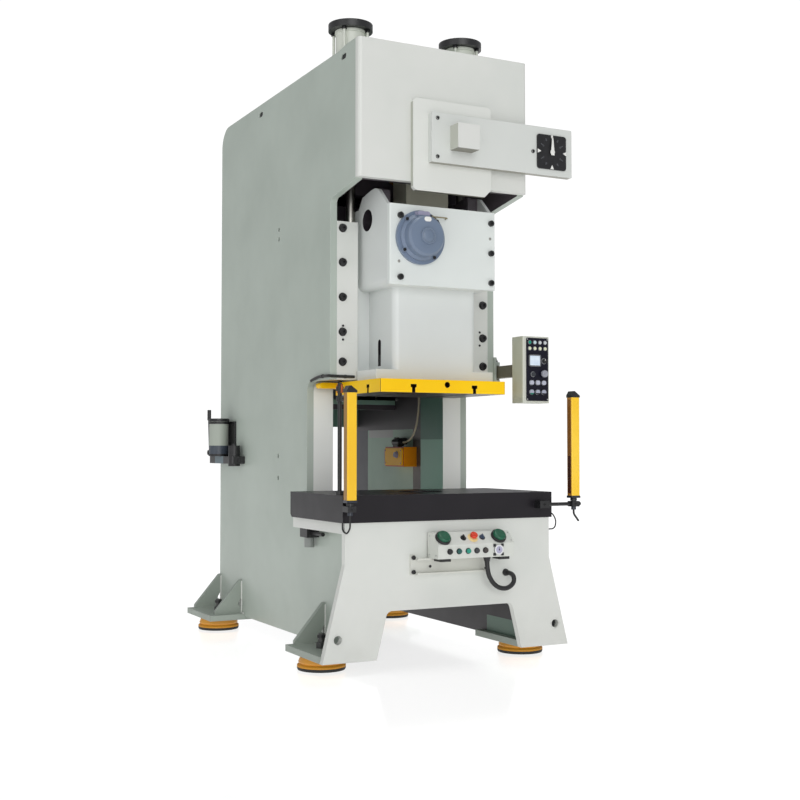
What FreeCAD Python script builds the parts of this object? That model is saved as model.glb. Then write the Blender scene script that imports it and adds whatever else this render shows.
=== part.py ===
import FreeCAD, Part
import math
import os

V = FreeCAD.Vector

# Gap-frame crank press, standing on its levelling pads, with the slide at the top of its stroke.
# Origin: centre of the bolster's top face, where the slide's load axis meets it.
# +X is the operator's right, +Y runs from the operator to the back, +Z is up. Sizes in mm.

# ---- Heights, measured from the bolster's top face ----
floor_drop = 735.0            # bolster top above the floor
crank_height = 1487.0
crank_to_top = 421.0          # crankshaft axis to the top of the side plates
crown_rise = 10.0             # crown front stands above the side plates
crown_below_crank = 160.0     # crankshaft axis to the lower edge of the crown's front plate
crown_heel_drop = 45.0        # from that edge down to the crown's underside at the guides
throat_top = 492.0            # lower end of the guides and of the head above the throat
frame_foot_gap = 75.0         # side plates end above the floor
foot_plate_gap = 59.0         # underside of the foot plates above the floor
foot_plate_t = 28.0
gusset_height = 170.0         # foot gussets above their plates

# ---- Depths and widths ----
frame_width = 833.0           # over the side plates
side_plate_t = 32.0
crown_front = -230.0          # front face of the crown
crown_plate_t = 32.0
guide_front = 57.0            # front faces of the gib strips
throat_depth = 310.0          # load axis to the column faces
column_depth = 225.0          # column's front face to its back
column_face_t = 30.0
column_wall = 25.0
frame_back = 1490.0
rear_corner_r = 105.0         # rounded top corner at the back
bend_lead = 20.0              # flat run of the bent back plate before the top plate
throat_r = 40.0
base_front = -273.0
base_plate_t = 30.0
base_top_width = 993.0
base_foot_width = 1190.0
base_waist = -283.0           # height where the front plate starts to flare
leg_gap_top = 606.0
leg_gap_foot = 704.0
leg_gap_height = 256.0        # leg opening above the floor, measured to its top
leg_corner_r = 28.0
base_hole_r = 18.0
base_hole_inset = 68.0        # from the plate's outer edge at its foot
base_hole_height = 153.0      # above the floor

# ---- Bolster and bed ----
bolster_width = 1018.0
bolster_depth = 556.0
bolster_t = 112.0
bolster_bore_r = 75.0
bolster_step_r = 100.0
bolster_step_depth = 20.0
bed_t = 48.0
bed_overhang = 66.0           # bed plate beyond each side plate

# ---- Crank drive ----
stroke = 160.0
crank_pin_r = 85.0
journal_r = 70.0
fit = 0.05                    # radial running clearance of shafts
guide_fit = 0.3               # clearance of the slide in its guides
web_t = 30.0
big_end_r = 150.0
rod_width = 210.0
rod_depth = 128.0
rod_neck_r = 75.0
ball_r = 62.0
rod_length = 582.0            # crank pin to ball
gear_module = 10.0
gear_teeth = 60
pinion_teeth = 15
gear_face = 100.0
pinion_shaft_r = 45.0
flywheel_r = 320.0
flywheel_face = 130.0
pulley_r = 82.0
motor_r = 145.0
motor_shaft_height = 160.0
belt_centres = 508.0          # flywheel axis to motor axis
belt_count = 4
belt_pitch = 26.0
belt_width = 15.0
belt_depth = 11.0
belt_clearance = 0.2
guard_depth = 255.0
guard_sheet = 4.0
guard_corner_r = 60.0         # dished edge of the guard's back, outside
flank_relief = 0.15           # gear teeth, each flank

# ---- Slide ----
slide_gap = 22.0              # slide's box to the gib strips, each side
slide_front = -185.0
slide_back = 230.0
box_below_ball = 98.0         # underside of the slide's upper box below the ball
box_front_height = 345.0
box_height = 432.0
slide_cheek_t = 16.0          # slide's side cheeks beside its open front pocket
slide_pocket_depth = 33.0     # pocket's floor below the top of the slide's cover
slide_headroom = 26.0         # slide's highest point to the crank walls
slide_cover_t = 25.0
block_step = 56.0             # slide's lower block inside its upper box, each side
block_front = -140.0
block_corner_r = 28.0
flange_lap = 7.0              # flange beyond the gib strips' inner edges
flange_t = 44.0
plate_half = 308.5
plate_front = -217.0
plate_back = 238.0
plate_t = 57.0
shut_height = 429.0           # bolster top to slide plate at the top of the stroke
wing_gap = 34.5               # slide's wings to the side plates
wing_front = 102.0
wing_back = 190.0
wing_height = 301.0           # above the underside of the slide's upper box
gib_width = 101.5
knockout_slot_w = 28.0
knockout_slot_h = 117.0
knockout_slot_rise = 66.0     # above the tool plate
shank_r = 30.0
shank_depth = 80.0
tee_x = 150.0
tee_neck = 16.0
tee_head = 28.0
tee_head_h = 14.0
tee_depth = 36.0

# ---- Balance cylinders ----
cylinder_inset = 100.5        # cylinder axis to the side plate
cylinder_y = 135.0
cylinder_r = 67.0
cylinder_wall = 9.0
cylinder_cap_r = 100.0
cylinder_cap_t = 30.0
cylinder_above_frame = 184.0
cylinder_below_frame = 138.0
balance_rod_r = 20.0

# ---- Stations of the drive ----
pinion_wall_gap = 31.0        # pinion wall above the motor
rear_opening_top = 310.0
motor_back = 1395.0
motor_length = 310.0

# ---- Values worked out from the sizes above ----
floor = -floor_drop
half = frame_width / 2.0
inner = half - side_plate_t
throw = stroke / 2.0
pin_height = crank_height + throw
frame_top = crank_height + crank_to_top
crown_bottom = crank_height - crown_below_crank
crown_heel = crown_bottom - crown_heel_drop
crown_top = frame_top + crown_rise
crown_back = crown_front + crown_plate_t
side_foot = floor + frame_foot_gap
foot_bottom = floor + foot_plate_gap
foot_top = foot_bottom + foot_plate_t
bed_top = -bolster_t
bed_bottom = bed_top - bed_t
bolster_back = bolster_depth / 2.0
gear_r = gear_module * gear_teeth / 2.0
pinion_r = gear_module * pinion_teeth / 2.0
pinion_height = crank_height - gear_r - pinion_r
motor_height = pinion_height - belt_centres
pinion_wall_bottom = motor_height + motor_r + pinion_wall_gap
rear_inner = frame_back - side_plate_t
web_outer = rod_depth / 2.0 + 1.0 + web_t       # outer face of a crank web from the load axis
crank_wall_back = -web_outer - 5.0
middle_wall_y = cylinder_y + cylinder_r + 4.0   # wall behind the rear crank web
gib_inner = inner - gib_width
wing_half = inner - wing_gap
slide_half = gib_inner - slide_gap
block_half = slide_half - block_step
flange_half = gib_inner + flange_lap
cylinder_x = inner - cylinder_inset
cylinder_top = frame_top + cylinder_above_frame
cylinder_bottom = frame_top - cylinder_below_frame
plate_bottom = shut_height
plate_top = plate_bottom + plate_t
flange_top = plate_top + flange_t
knockout_slot_bottom = plate_top + knockout_slot_rise
ball_height = pin_height - rod_length
slide_box_bottom = ball_height - box_below_ball
slide_box_front_top = slide_box_bottom + box_front_height
slide_peak = slide_box_bottom + box_height
wing_top = slide_box_bottom + wing_height
wall_bottom = slide_peak + slide_headroom
base_hole_x = base_foot_width / 2.0 - base_hole_inset
gusset_top = foot_top + gusset_height
seat_gap = throw * 0.2105 + 1.7       # the opened ball pivot's clearance over its seat
seat_top = ball_height - ball_r - seat_gap


# ---- Shape helpers ----
def box(x0, x1, y0, y1, z0, z1):
    return Part.makeBox(x1 - x0, y1 - y0, z1 - z0, V(x0, y0, z0))


def rod_y(x, z, r, y0, y1):
    return Part.makeCylinder(r, y1 - y0, V(x, y0, z), V(0, 1, 0))


def rod_z(x, y, r, z0, z1):
    return Part.makeCylinder(r, z1 - z0, V(x, y, z0), V(0, 0, 1))


def rod_x(y, z, r, x0, x1):
    return Part.makeCylinder(r, x1 - x0, V(x0, y, z), V(1, 0, 0))


def join(shapes):
    return shapes[0].multiFuse(shapes[1:]).removeSplitter()


def cut(shape, tools):
    return shape.cut(tools)


def group(solids):
    return Part.makeCompound(solids)


def mirrored(shape):
    return shape.mirror(V(0, 0, 0), V(1, 0, 0))


def both_sides(shape):
    return [shape, mirrored(shape)]


def prism_x(outline, x0, x1):
    """Outline of (y, z) points, run from x0 to x1."""
    wire = Part.makePolygon([V(x0, y, z) for y, z in outline + outline[:1]])
    return Part.Face(wire).extrude(V(x1 - x0, 0, 0))


def prism_y(outline, y0, y1):
    """Outline of (x, z) points, run from y0 to y1."""
    wire = Part.makePolygon([V(x, y0, z) for x, z in outline + outline[:1]])
    return Part.Face(wire).extrude(V(0, y1 - y0, 0))


def prism_z(outline, z0, z1):
    """Outline of (x, y) points, run from z0 to z1."""
    wire = Part.makePolygon([V(x, y, z0) for x, y in outline + outline[:1]])
    return Part.Face(wire).extrude(V(0, 0, z1 - z0))


def edges_along(shape, axis, keep):
    """Straight edges parallel to an axis whose middle point passes the test."""
    found = []
    for edge in shape.Edges:
        if edge.Curve.TypeId != "Part::GeomLine":
            continue
        step = edge.Vertexes[1].Point.sub(edge.Vertexes[0].Point)
        if abs(abs(step.dot(axis)) - edge.Length) < 1e-6 and keep(edge.CenterOfMass):
            found.append(edge)
    return found


def rounded(shape, radius, axis, keep=lambda p: True):
    return shape.makeFillet(radius, edges_along(shape, axis, keep))


def rounded_end(shape, radius, y):
    """Round the outline of the flat end at y."""
    end = [f for f in shape.Faces if abs(f.CenterOfMass.y - y) < 0.1][0]
    return shape.makeFillet(radius, end.Edges)


def turned_y(outline, x, z):
    """Outline of (radius, y) points turned round an axis along Y through (x, z)."""
    wire = Part.makePolygon([V(x + r, y, z) for r, y in outline + outline[:1]])
    return Part.Face(wire).revolve(V(x, 0, z), V(0, 1, 0), 360)


def turned_z(outline, x, y):
    """Outline of (radius, z) points turned round a vertical axis through (x, y)."""
    wire = Part.makePolygon([V(x + r, y, z) for r, z in outline + outline[:1]])
    return Part.Face(wire).revolve(V(x, y, 0), V(0, 0, 1), 360)


def band_y(x0, z0, r0, x1, z1, r1, y0, y1):
    """Solid bounded by two circles and their outer tangents, run along Y."""
    span = V(x1 - x0, 0, z1 - z0)
    length = span.Length
    along = V(span).normalize()
    lean = math.acos((r0 - r1) / length)
    sides = []
    for sign in (1, -1):
        turn = FreeCAD.Rotation(V(0, 1, 0), math.degrees(sign * lean))
        normal = turn.multVec(along)
        sides.append((V(x0, y0, z0) + normal * r0, V(x1, y0, z1) + normal * r1))
    near = V(x0, y0, z0) - along * r0
    far = V(x1, y0, z1) + along * r1
    edges = [
        Part.Arc(sides[0][0], near, sides[1][0]).toShape(),
        Part.LineSegment(sides[1][0], sides[1][1]).toShape(),
        Part.Arc(sides[1][1], far, sides[0][1]).toShape(),
        Part.LineSegment(sides[0][1], sides[0][0]).toShape(),
    ]
    return Part.Face(Part.Wire(edges)).extrude(V(0, y1 - y0, 0))


def socket_screw_y(x, z, face, head_r, head_h, socket_r):
    """Socket head screw whose head stands out of a face towards the operator."""
    head = rod_y(x, z, head_r, face - head_h, face)
    corners = [(x + socket_r * math.cos(math.radians(a)), z + socket_r * math.sin(math.radians(a)))
               for a in range(0, 360, 60)]
    return cut(head, [prism_y(corners, face - head_h, face - head_h * 0.4)])


def tube_along(points, radius):
    """Round tube along straight runs joined by tangent arcs, each as large as its runs allow."""
    edges = []
    radii = []
    last = points[0]
    for before, corner, after in zip(points, points[1:], points[2:]):
        back = before.sub(corner)
        ahead = after.sub(corner)
        shorter = min(back.Length, ahead.Length)
        half_turn = (math.pi - back.getAngle(ahead)) / 2.0
        bend = 0.45 * shorter / math.tan(half_turn)
        reach = 0.45 * shorter
        start = corner + V(back).normalize() * reach
        end = corner + V(ahead).normalize() * reach
        middle_way = (V(back).normalize() + V(ahead).normalize()).normalize()
        middle = corner + middle_way * (bend / math.cos(half_turn) - bend)
        edges.append(Part.LineSegment(last, start).toShape())
        edges.append(Part.Arc(start, middle, end).toShape())
        radii.append(bend)
        last = end
    edges.append(Part.LineSegment(last, points[-1]).toShape())
    path = Part.Wire(edges)
    first_run = points[1].sub(points[0])
    section = Part.Wire(Part.makeCircle(radius, points[0], first_run))
    tube = path.makePipeShell([section], True, False)
    ideal = math.pi * radius * radius * path.Length
    print("tube radii", [round(r, 1) for r in radii], "volume ratio", round(tube.Volume / ideal, 4))
    return tube


# ---- Frame weldment ----
def side_plate():
    """Right side plate: the C outline with its guide front, throat and foot."""
    x0, x1 = inner, half
    outline = [
        (crown_back, crown_top), (-115.0, crown_top), (-30.0, frame_top), (frame_back, frame_top),
        (frame_back, foot_top), (1115.0, foot_top), (1085.0, side_foot), (150.0, side_foot),
        (120.0, foot_top), (base_front + base_plate_t, foot_top),
        (base_front + base_plate_t, bed_bottom), (throat_depth, bed_bottom),
        (throat_depth, throat_top), (guide_front, throat_top), (guide_front, crown_heel),
        (crown_back, crown_bottom - 5.0),
    ]
    plate = prism_x(outline, x0, x1)
    along = V(1, 0, 0)
    plate = rounded(plate, rear_corner_r, along, lambda p: p.y > frame_back - 1 and p.z > frame_top - 1)
    plate = rounded(plate, throat_r, along, lambda p: abs(p.y - throat_depth) < 1 and p.z > throat_top - 1)
    plate = rounded(plate, 25.0, along, lambda p: abs(p.y - guide_front) < 1 and p.z > crown_heel - 1)
    lifting = [(908.0, frame_top - 50.0), (-79.0, frame_top - 36.0)]
    holes = []
    for y, z in lifting:
        holes.append(rod_x(y - 14, z, 12.0, x0 - 1, x1 + 1))
        holes.append(rod_x(y + 14, z, 12.0, x0 - 1, x1 + 1))
        holes.append(box(x0 - 1, x1 + 1, y - 14, y + 14, z - 12, z + 12))
    for z in (frame_top - 668.0, frame_top - 714.0, 155.0, 51.0):
        holes.append(rod_x(660.0, z, 11.0, x0 - 1, x1 + 1))
    return cut(plate, holes)


def crown_front_plate():
    plate = box(-half, half, crown_front, crown_back, crown_bottom, crown_top)
    plate = rounded(plate, 16.0, V(0, 0, 1), lambda p: p.y < crown_front + 1)
    hole = rod_y(0, crank_height, 60.0, crown_front - 1, crown_back + 1)
    return cut(plate, [hole])


def cross_walls():
    """Plates that stand or lie between the side plates, welded to both."""
    wall_top = frame_top - 25.0
    bush_r = journal_r + 18.0
    front = box(-inner, inner, crown_back, crank_wall_back, wall_bottom, wall_top)
    front = cut(front, [rod_y(0, crank_height, bush_r, crown_back - 1, crank_wall_back + 1)])
    middle = box(-inner, inner, middle_wall_y, middle_wall_y + 75.0, wall_bottom, wall_top)
    middle = cut(middle, [rod_y(0, crank_height, bush_r, middle_wall_y - 1, middle_wall_y + 76.0)])
    pinion_wall = box(-inner, inner, 1180.0, 1215.0, pinion_wall_bottom, wall_top)
    pinion_wall = cut(pinion_wall, [
        rod_y(0, crank_height, journal_r + 6.0, 1179.0, 1216.0),
        rod_y(0, pinion_height, pinion_shaft_r + 15.0, 1179.0, 1216.0),
    ])
    back = box(-inner, inner, throat_depth, throat_depth + 30.0, throat_top, crown_bottom - 20.0)
    top = box(-inner, inner, crown_back, frame_back - rear_corner_r - bend_lead, wall_top, frame_top)
    top_holes = []
    for x in (-cylinder_x, cylinder_x):
        top_holes.append(rod_z(x, cylinder_y, cylinder_r + 1.0, wall_top - 1, frame_top + 1))
    top = cut(top, top_holes)
    ceiling = box(-inner, inner, throat_depth + 30.0, 1000.0, throat_top, throat_top + 25.0)
    shelf_top = motor_height - motor_shaft_height
    shelf = join([box(-inner, inner, 1000.0, rear_inner, shelf_top - 20.0, shelf_top),
                  box(-inner, inner, 1000.0, 1020.0, shelf_top - 50.0, shelf_top)])
    base_middle = box(-inner, inner, throat_depth - 30.0, throat_depth, foot_top + 180.0, bed_bottom)
    base_back = box(-inner, inner, rear_inner, frame_back, foot_top, bed_top)
    base_back = cut(base_back, [box(-250.0, 250.0, rear_inner - 1, frame_back + 1, foot_top - 1, -460.0)])
    return group([front, middle, pinion_wall, back, top, ceiling, shelf, base_middle, base_back])


def rear_plate():
    """Bent plate that closes the back and turns over into the top at the rear corner."""
    lower = rear_opening_top
    bend_start = frame_back - rear_corner_r - bend_lead
    outer = box(-inner, inner, bend_start, frame_back, lower, frame_top)
    outer = rounded(outer, rear_corner_r, V(1, 0, 0), lambda p: p.y > frame_back - 1 and p.z > frame_top - 1)
    hollow = box(-inner - 1, inner + 1, bend_start - 1, rear_inner, lower - 1, frame_top - side_plate_t)
    hollow = rounded(hollow, rear_corner_r - side_plate_t, V(1, 0, 0),
                     lambda p: p.y > rear_inner - 1 and p.z > frame_top - side_plate_t - 1)
    holes = [
        rod_y(0, crank_height, journal_r + 18.0, rear_inner - 1, frame_back + 1),
        rod_y(0, pinion_height, pinion_shaft_r + 15.0, rear_inner - 1, frame_back + 1),
        rod_y(0, motor_height, 60.0, rear_inner - 1, frame_back + 1),
    ]
    return cut(outer, [hollow] + holes)


def throat_columns():
    """Channel-section columns between the bed and the head, open towards the side plates."""
    x0 = gib_inner + 5.0
    back = throat_depth + column_depth
    outline = [
        (x0, throat_depth), (inner, throat_depth), (inner, throat_depth + column_face_t),
        (x0 + column_wall, throat_depth + column_face_t), (x0 + column_wall, back - column_wall),
        (inner, back - column_wall), (inner, back), (x0, back),
    ]
    return group(both_sides(prism_z(outline, bed_bottom, throat_top)))


def bed_plate():
    x1 = half + bed_overhang
    plate = box(-x1, x1, base_front + base_plate_t, throat_depth, bed_bottom, bed_top)
    return cut(plate, [rod_z(0, 0, bolster_bore_r + 15.0, bed_bottom - 1, bed_top + 1)])


def base_front_plate():
    top = base_top_width / 2.0
    foot = base_foot_width / 2.0
    outline = [(-top, bed_top), (top, bed_top), (top, base_waist), (foot, foot_bottom),
               (-foot, foot_bottom), (-top, base_waist)]
    plate = prism_y(outline, base_front, base_front + base_plate_t)
    gap_top = floor + leg_gap_height
    opening = prism_y([(-leg_gap_top / 2, gap_top), (leg_gap_top / 2, gap_top),
                       (leg_gap_foot / 2, foot_bottom - 1), (-leg_gap_foot / 2, foot_bottom - 1)],
                      base_front - 1, base_front + base_plate_t + 1)
    opening = rounded(opening, leg_corner_r, V(0, 1, 0), lambda p: p.z > gap_top - 1)
    hole_z = floor + base_hole_height
    holes = [rod_y(x, hole_z, base_hole_r, base_front - 1, base_front + base_plate_t + 1)
             for x in (-base_hole_x, base_hole_x)]
    return cut(plate, [opening] + holes)


pad_x = base_foot_width / 2.0 - 100.0
pad_front_y = -37.0
pad_back_y = 1280.0
pad_r = 100.0
pad_rubber_t = 26.0
gusset_t = 22.0


def foot_bracket(y0, y1, pad_y, gusset_ys):
    """Foot plate outside and under a side plate, with upright gussets."""
    outer = base_foot_width / 2.0
    plate = box(leg_gap_foot / 2.0, outer, y0, y1, foot_bottom, foot_top)
    plate = cut(plate, [rod_z(pad_x, pad_y, 15.0, foot_bottom - 1, foot_top + 1)])
    parts = [plate]
    for y in gusset_ys:
        web = prism_y([(half, foot_top), (outer - 35.0, foot_top), (outer - 35.0, foot_top + 14.0),
                       (half + 12.0, gusset_top), (half, gusset_top)], y, y + gusset_t)
        window = prism_y([(half, foot_top + 22.0), (half + 20.0, foot_top + 48.0),
                          (half, foot_top + 86.0)], y - 1, y + gusset_t + 1)
        parts.append(cut(web, [window]))
    return join(parts)


def foot_brackets():
    front = foot_bracket(base_front + base_plate_t, 120.0, pad_front_y, [120.0 - gusset_t])
    back = foot_bracket(1115.0, frame_back, pad_back_y, [1150.0, frame_back - gusset_t])
    return group(both_sides(front) + both_sides(back))


def at_pads(make):
    return group([make(x, y) for y in (pad_front_y, pad_back_y) for x in (-pad_x, pad_x)])


def pad_rubber(x, y):
    return turned_z([(0, floor), (pad_r, floor), (pad_r + 3.0, floor + 6.0), (pad_r + 3.0, floor + 20.0),
                     (pad_r - 4.0, floor + pad_rubber_t), (0, floor + pad_rubber_t)], x, y)


def pad_cap(x, y):
    low = floor + pad_rubber_t
    return turned_z([(17.0, low), (pad_r - 6.0, low), (pad_r - 2.0, low + 8.0),
                     (pad_r - 10.0, foot_bottom - 6.0),
                     (pad_r - 24.0, foot_bottom), (17.0, foot_bottom)], x, y)


def levelling_bolt(x, y):
    shank = rod_z(x, y, 14.0, floor + pad_rubber_t, foot_top + 62.0)
    corners = [(x + 24.0 * math.cos(math.radians(a)), y + 24.0 * math.sin(math.radians(a)))
               for a in range(0, 360, 60)]
    nut = prism_z(corners, foot_top, foot_top + 24.0)
    return join([shank, nut])


def bolster():
    plate = box(-bolster_width / 2, bolster_width / 2, -bolster_depth / 2, bolster_back, bed_top, 0)
    lower = edges_along(plate, V(1, 0, 0), lambda p: p.z < -1 and p.y > 0)
    plate = plate.makeChamfer(14.0, lower)
    bore = turned_z([(0, 1), (bolster_step_r, 1), (bolster_step_r, -bolster_step_depth),
                     (bolster_bore_r, -bolster_step_depth), (bolster_bore_r, bed_top - 1), (0, bed_top - 1)],
                    0, 0)
    tapped = [rod_z(x, y, 9.0, -40.0, 1.0) for x in (-380, -190, 190, 380) for y in (-180, 180)]
    corner_holes = [rod_z(x, y, 20.0, -30.0, 1.0) for x in (-450, 450) for y in (-230, 230)]
    plate = cut(plate, [bore] + tapped + corner_holes)
    sunk_bolts = [rod_z(x, y, 17.0, -30.0, -6.0) for x in (-450, 450) for y in (-230, 230)]
    return group([plate] + sunk_bolts)


def guide_rails():
    """Rear guide rails: each stands beside the slide's wing and laps behind it."""
    x0 = wing_half + guide_fit
    y0 = wing_front
    y1 = wing_back + guide_fit
    outline = [(x0, y0), (inner, y0), (inner, 252.0), (gib_inner + 9.0, 252.0),
               (gib_inner + 9.0, y1), (x0, y1)]
    return group(both_sides(prism_z(outline, throat_top, wing_top)))


def gib_strips():
    """Front gib strips, split above the lower end as the real ones are."""
    strips = []
    split = throat_top + 158.0
    for z0, z1 in ((throat_top, split), (split, wing_top)):
        strip = box(gib_inner, inner, guide_front, wing_front - guide_fit, z0, z1)
        strips.extend(both_sides(strip))
    return group(strips)


gib_bolt_x = inner - 27.5
gib_bolt_heights = (throat_top + 78.0, throat_top + 209.0, throat_top + 362.0, wing_top - 181.0,
                    wing_top - 30.0)


def gib_bolts():
    return group([socket_screw_y(x, z, guide_front, 15.0, 14.0, 8.0)
                  for x in (-gib_bolt_x, gib_bolt_x) for z in gib_bolt_heights])


def crank_bushes():
    """Bronze bushes that carry the crankshaft."""
    outer = journal_r + 18.0
    bore = journal_r + fit
    places = [(crown_back + 2.0, crank_wall_back - 2.0), (middle_wall_y + 2.0, middle_wall_y + 73.0),
              (rear_inner, frame_back)]
    return [turned_y([(bore, y0), (outer, y0), (outer, y1), (bore, y1)], 0, crank_height)
            for y0, y1 in places]


def pinion_bushes():
    outer = pinion_shaft_r + 15.0
    bore = pinion_shaft_r + fit
    places = [(1180.0, 1215.0), (rear_inner, frame_back)]
    return [turned_y([(bore, y0), (outer, y0), (outer, y1), (bore, y1)], 0, pinion_height)
            for y0, y1 in places]


# ---- Crank, rod and gears ----
def crankshaft():
    front = rod_y(0, crank_height, journal_r, crown_back + 2.0, -web_outer)
    webs = [band_y(0, crank_height, 92.0, 0, pin_height, 112.0, y0, y0 + web_t)
            for y0 in (-web_outer, web_outer - web_t)]
    pin = rod_y(0, pin_height, crank_pin_r, -web_outer + web_t, web_outer - web_t)
    rear = rod_y(0, crank_height, journal_r, web_outer, frame_back - 3.0)
    nose = rod_y(0, crank_height, 30.0, crown_front - 12.0, crown_back + 2.0)
    return join([nose, front] + webs + [pin, rear])


def gear_outline(teeth, first_angle):
    """Points of a spur gear with straight-chord involute flanks."""
    pressure = math.radians(20)
    pitch = gear_module * teeth / 2.0
    base = pitch * math.cos(pressure)
    tip = pitch + gear_module * 0.95
    root = pitch - gear_module * 1.25
    start = max(base, root)

    def involute(r):
        angle = math.acos(min(1.0, base / r))
        return math.tan(angle) - angle

    half_tooth = math.pi / (2 * teeth) - flank_relief / pitch
    outline = []
    for index in range(teeth):
        centre = first_angle + 2 * math.pi * index / teeth
        flank = []
        for r in (start, pitch, tip):
            width = half_tooth + involute(pitch) - involute(r)
            flank.append((r, width))
        points = [(root, flank[0][1] + 0.004)] if root < start else []
        points += flank
        for r, width in points:
            outline.append((r, centre - width))
        for r, width in reversed(points):
            outline.append((r, centre + width))
    return [(r * math.cos(a), r * math.sin(a)) for r, a in outline]


gear_y = 1290.0


def main_gear():
    """Spur gear on the crankshaft, with a turned web and six windows."""
    outline = [(x, crank_height + z) for x, z in gear_outline(gear_teeth, -math.pi / 2)]
    gear = prism_y(outline, gear_y, gear_y + gear_face)
    rim = gear_r - gear_module * 1.25 - 30.0
    hub = journal_r + 50.0
    cuts = [rod_y(0, crank_height, journal_r + fit, gear_y - 1, gear_y + gear_face + 1)]
    for y0, y1 in ((gear_y - 1, gear_y + 28.0), (gear_y + gear_face - 28.0, gear_y + gear_face + 1)):
        cuts.append(turned_y([(hub, y0), (rim, y0), (rim, y1), (hub, y1)], 0, crank_height))
    window_ring = (hub + rim) / 2.0
    window_r = (rim - hub) * 0.3
    for index in range(6):
        a = math.radians(60 * index + 30)
        cuts.append(rod_y(window_ring * math.cos(a), crank_height + window_ring * math.sin(a), window_r,
                          gear_y, gear_y + gear_face))
    return cut(gear, cuts)


def pinion_shaft():
    outline = [(x, pinion_height + z) for x, z in gear_outline(pinion_teeth, -math.pi / 2)]
    pinion = prism_y(outline, gear_y - 5.0, gear_y + gear_face + 5.0)
    shaft = rod_y(0, pinion_height, pinion_shaft_r, 1182.0, frame_back + guard_depth - 42.0)
    return join([shaft, pinion])


flywheel_y = frame_back + 32.0


def sheave(radius, hub_r, bore_r, y0, face, x, z):
    """Rim with belt grooves, as turned outline points."""
    outline = [(bore_r, y0), (radius, y0)]
    first = y0 + face / 2.0 - belt_pitch * (belt_count - 1) / 2.0
    half_groove = belt_width / 2.0 + belt_clearance
    depth = belt_depth + belt_clearance
    for index in range(belt_count):
        centre = first + index * belt_pitch
        outline += [(radius, centre - half_groove), (radius - depth, centre - half_groove),
                    (radius - depth, centre + half_groove), (radius, centre + half_groove)]
    outline += [(radius, y0 + face), (bore_r, y0 + face)]
    return turned_y(outline, x, z)


def flywheel():
    y0, y1 = flywheel_y, flywheel_y + flywheel_face
    wheel = sheave(flywheel_r, 90.0, pinion_shaft_r + fit, y0, flywheel_face, 0, pinion_height)
    cuts = []
    for a, b in ((y0 - 1, y0 + 42.0), (y1 - 42.0, y1 + 1)):
        cuts.append(turned_y([(95.0, a), (flywheel_r - 60.0, a), (flywheel_r - 60.0, b), (95.0, b)],
                             0, pinion_height))
    return cut(wheel, cuts)


def clutch_brake():
    """Combined friction clutch and brake on the end of the pinion shaft."""
    y0 = flywheel_y + flywheel_face + 2.0
    outline = [(pinion_shaft_r, y0), (200.0, y0), (200.0, y0 + 22.0), (165.0, y0 + 22.0),
               (165.0, y0 + 46.0), (80.0, y0 + 46.0), (80.0, y0 + 38.0), (pinion_shaft_r, y0 + 38.0)]
    drum = turned_y(outline, 0, pinion_height)
    bolts = []
    for index in range(8):
        a = math.radians(45 * index)
        bolts.append(rod_y(183.0 * math.cos(a), pinion_height + 183.0 * math.sin(a), 9.0,
                           y0 + 22.0, y0 + 32.0))
    return join([drum] + bolts)


pulley_face = flywheel_face


def motor_pulley():
    pulley = sheave(pulley_r, 30.0, 0.0, flywheel_y, pulley_face, 0, motor_height)
    shaft = rod_y(0, motor_height, 21.0, motor_back - 40.0, flywheel_y)
    return join([pulley, shaft])


def flywheel_belts():
    belts = []
    first = flywheel_y + flywheel_face / 2.0 - belt_pitch * (belt_count - 1) / 2.0
    for index in range(belt_count):
        y = first + index * belt_pitch
        y0, y1 = y - belt_width / 2.0, y + belt_width / 2.0
        lift = belt_clearance / 2.0
        outer = band_y(0, pinion_height, flywheel_r + lift, 0, motor_height, pulley_r + lift, y0, y1)
        hole = band_y(0, pinion_height, flywheel_r + lift - belt_depth,
                      0, motor_height, pulley_r + lift - belt_depth, y0 - 1, y1 + 1)
        belts.append(cut(outer, [hole]))
    return group(belts)


def motor():
    """Foot-mounted drive motor with a ribbed shell, end shields and terminal box."""
    y0, y1 = motor_back - motor_length, motor_back
    shelf = motor_height - motor_shaft_height
    shell = rod_y(0, motor_height, motor_r - 12.0, y0, y1)
    ribs = []
    for index in range(24):
        a = 15 * index
        rib = box(-3.0, 3.0, y0 + 20.0, y1 - 20.0, motor_height + motor_r - 20.0, motor_height + motor_r)
        rib.rotate(V(0, 0, motor_height), V(0, 1, 0), a)
        if not 135 < a < 225:
            ribs.append(rib)
    shields = [rod_y(0, motor_height, motor_r - 4.0, y0, y0 + 18.0),
               rod_y(0, motor_height, motor_r - 4.0, y1 - 18.0, y1)]
    cowl = turned_y([(0, y0 - 62.0), (motor_r - 30.0, y0 - 62.0), (motor_r - 8.0, y0 - 44.0),
                     (motor_r - 8.0, y0), (0, y0)], 0, motor_height)
    feet = [box(sx * 105.0 - 28.0, sx * 105.0 + 28.0, y0 + 30.0, y1 - 30.0, shelf, motor_height - 90.0)
            for sx in (-1, 1)]
    terminal = box(motor_r - 22.0, motor_r + 46.0, y0 + 90.0, y0 + 210.0,
                   motor_height - 20.0, motor_height + 80.0)
    body = join([shell] + ribs + shields + [cowl] + feet + [terminal])
    return cut(body, [rod_y(0, motor_height, 21.0 + fit, y1 - 41.0, y1 + 1)])


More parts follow.
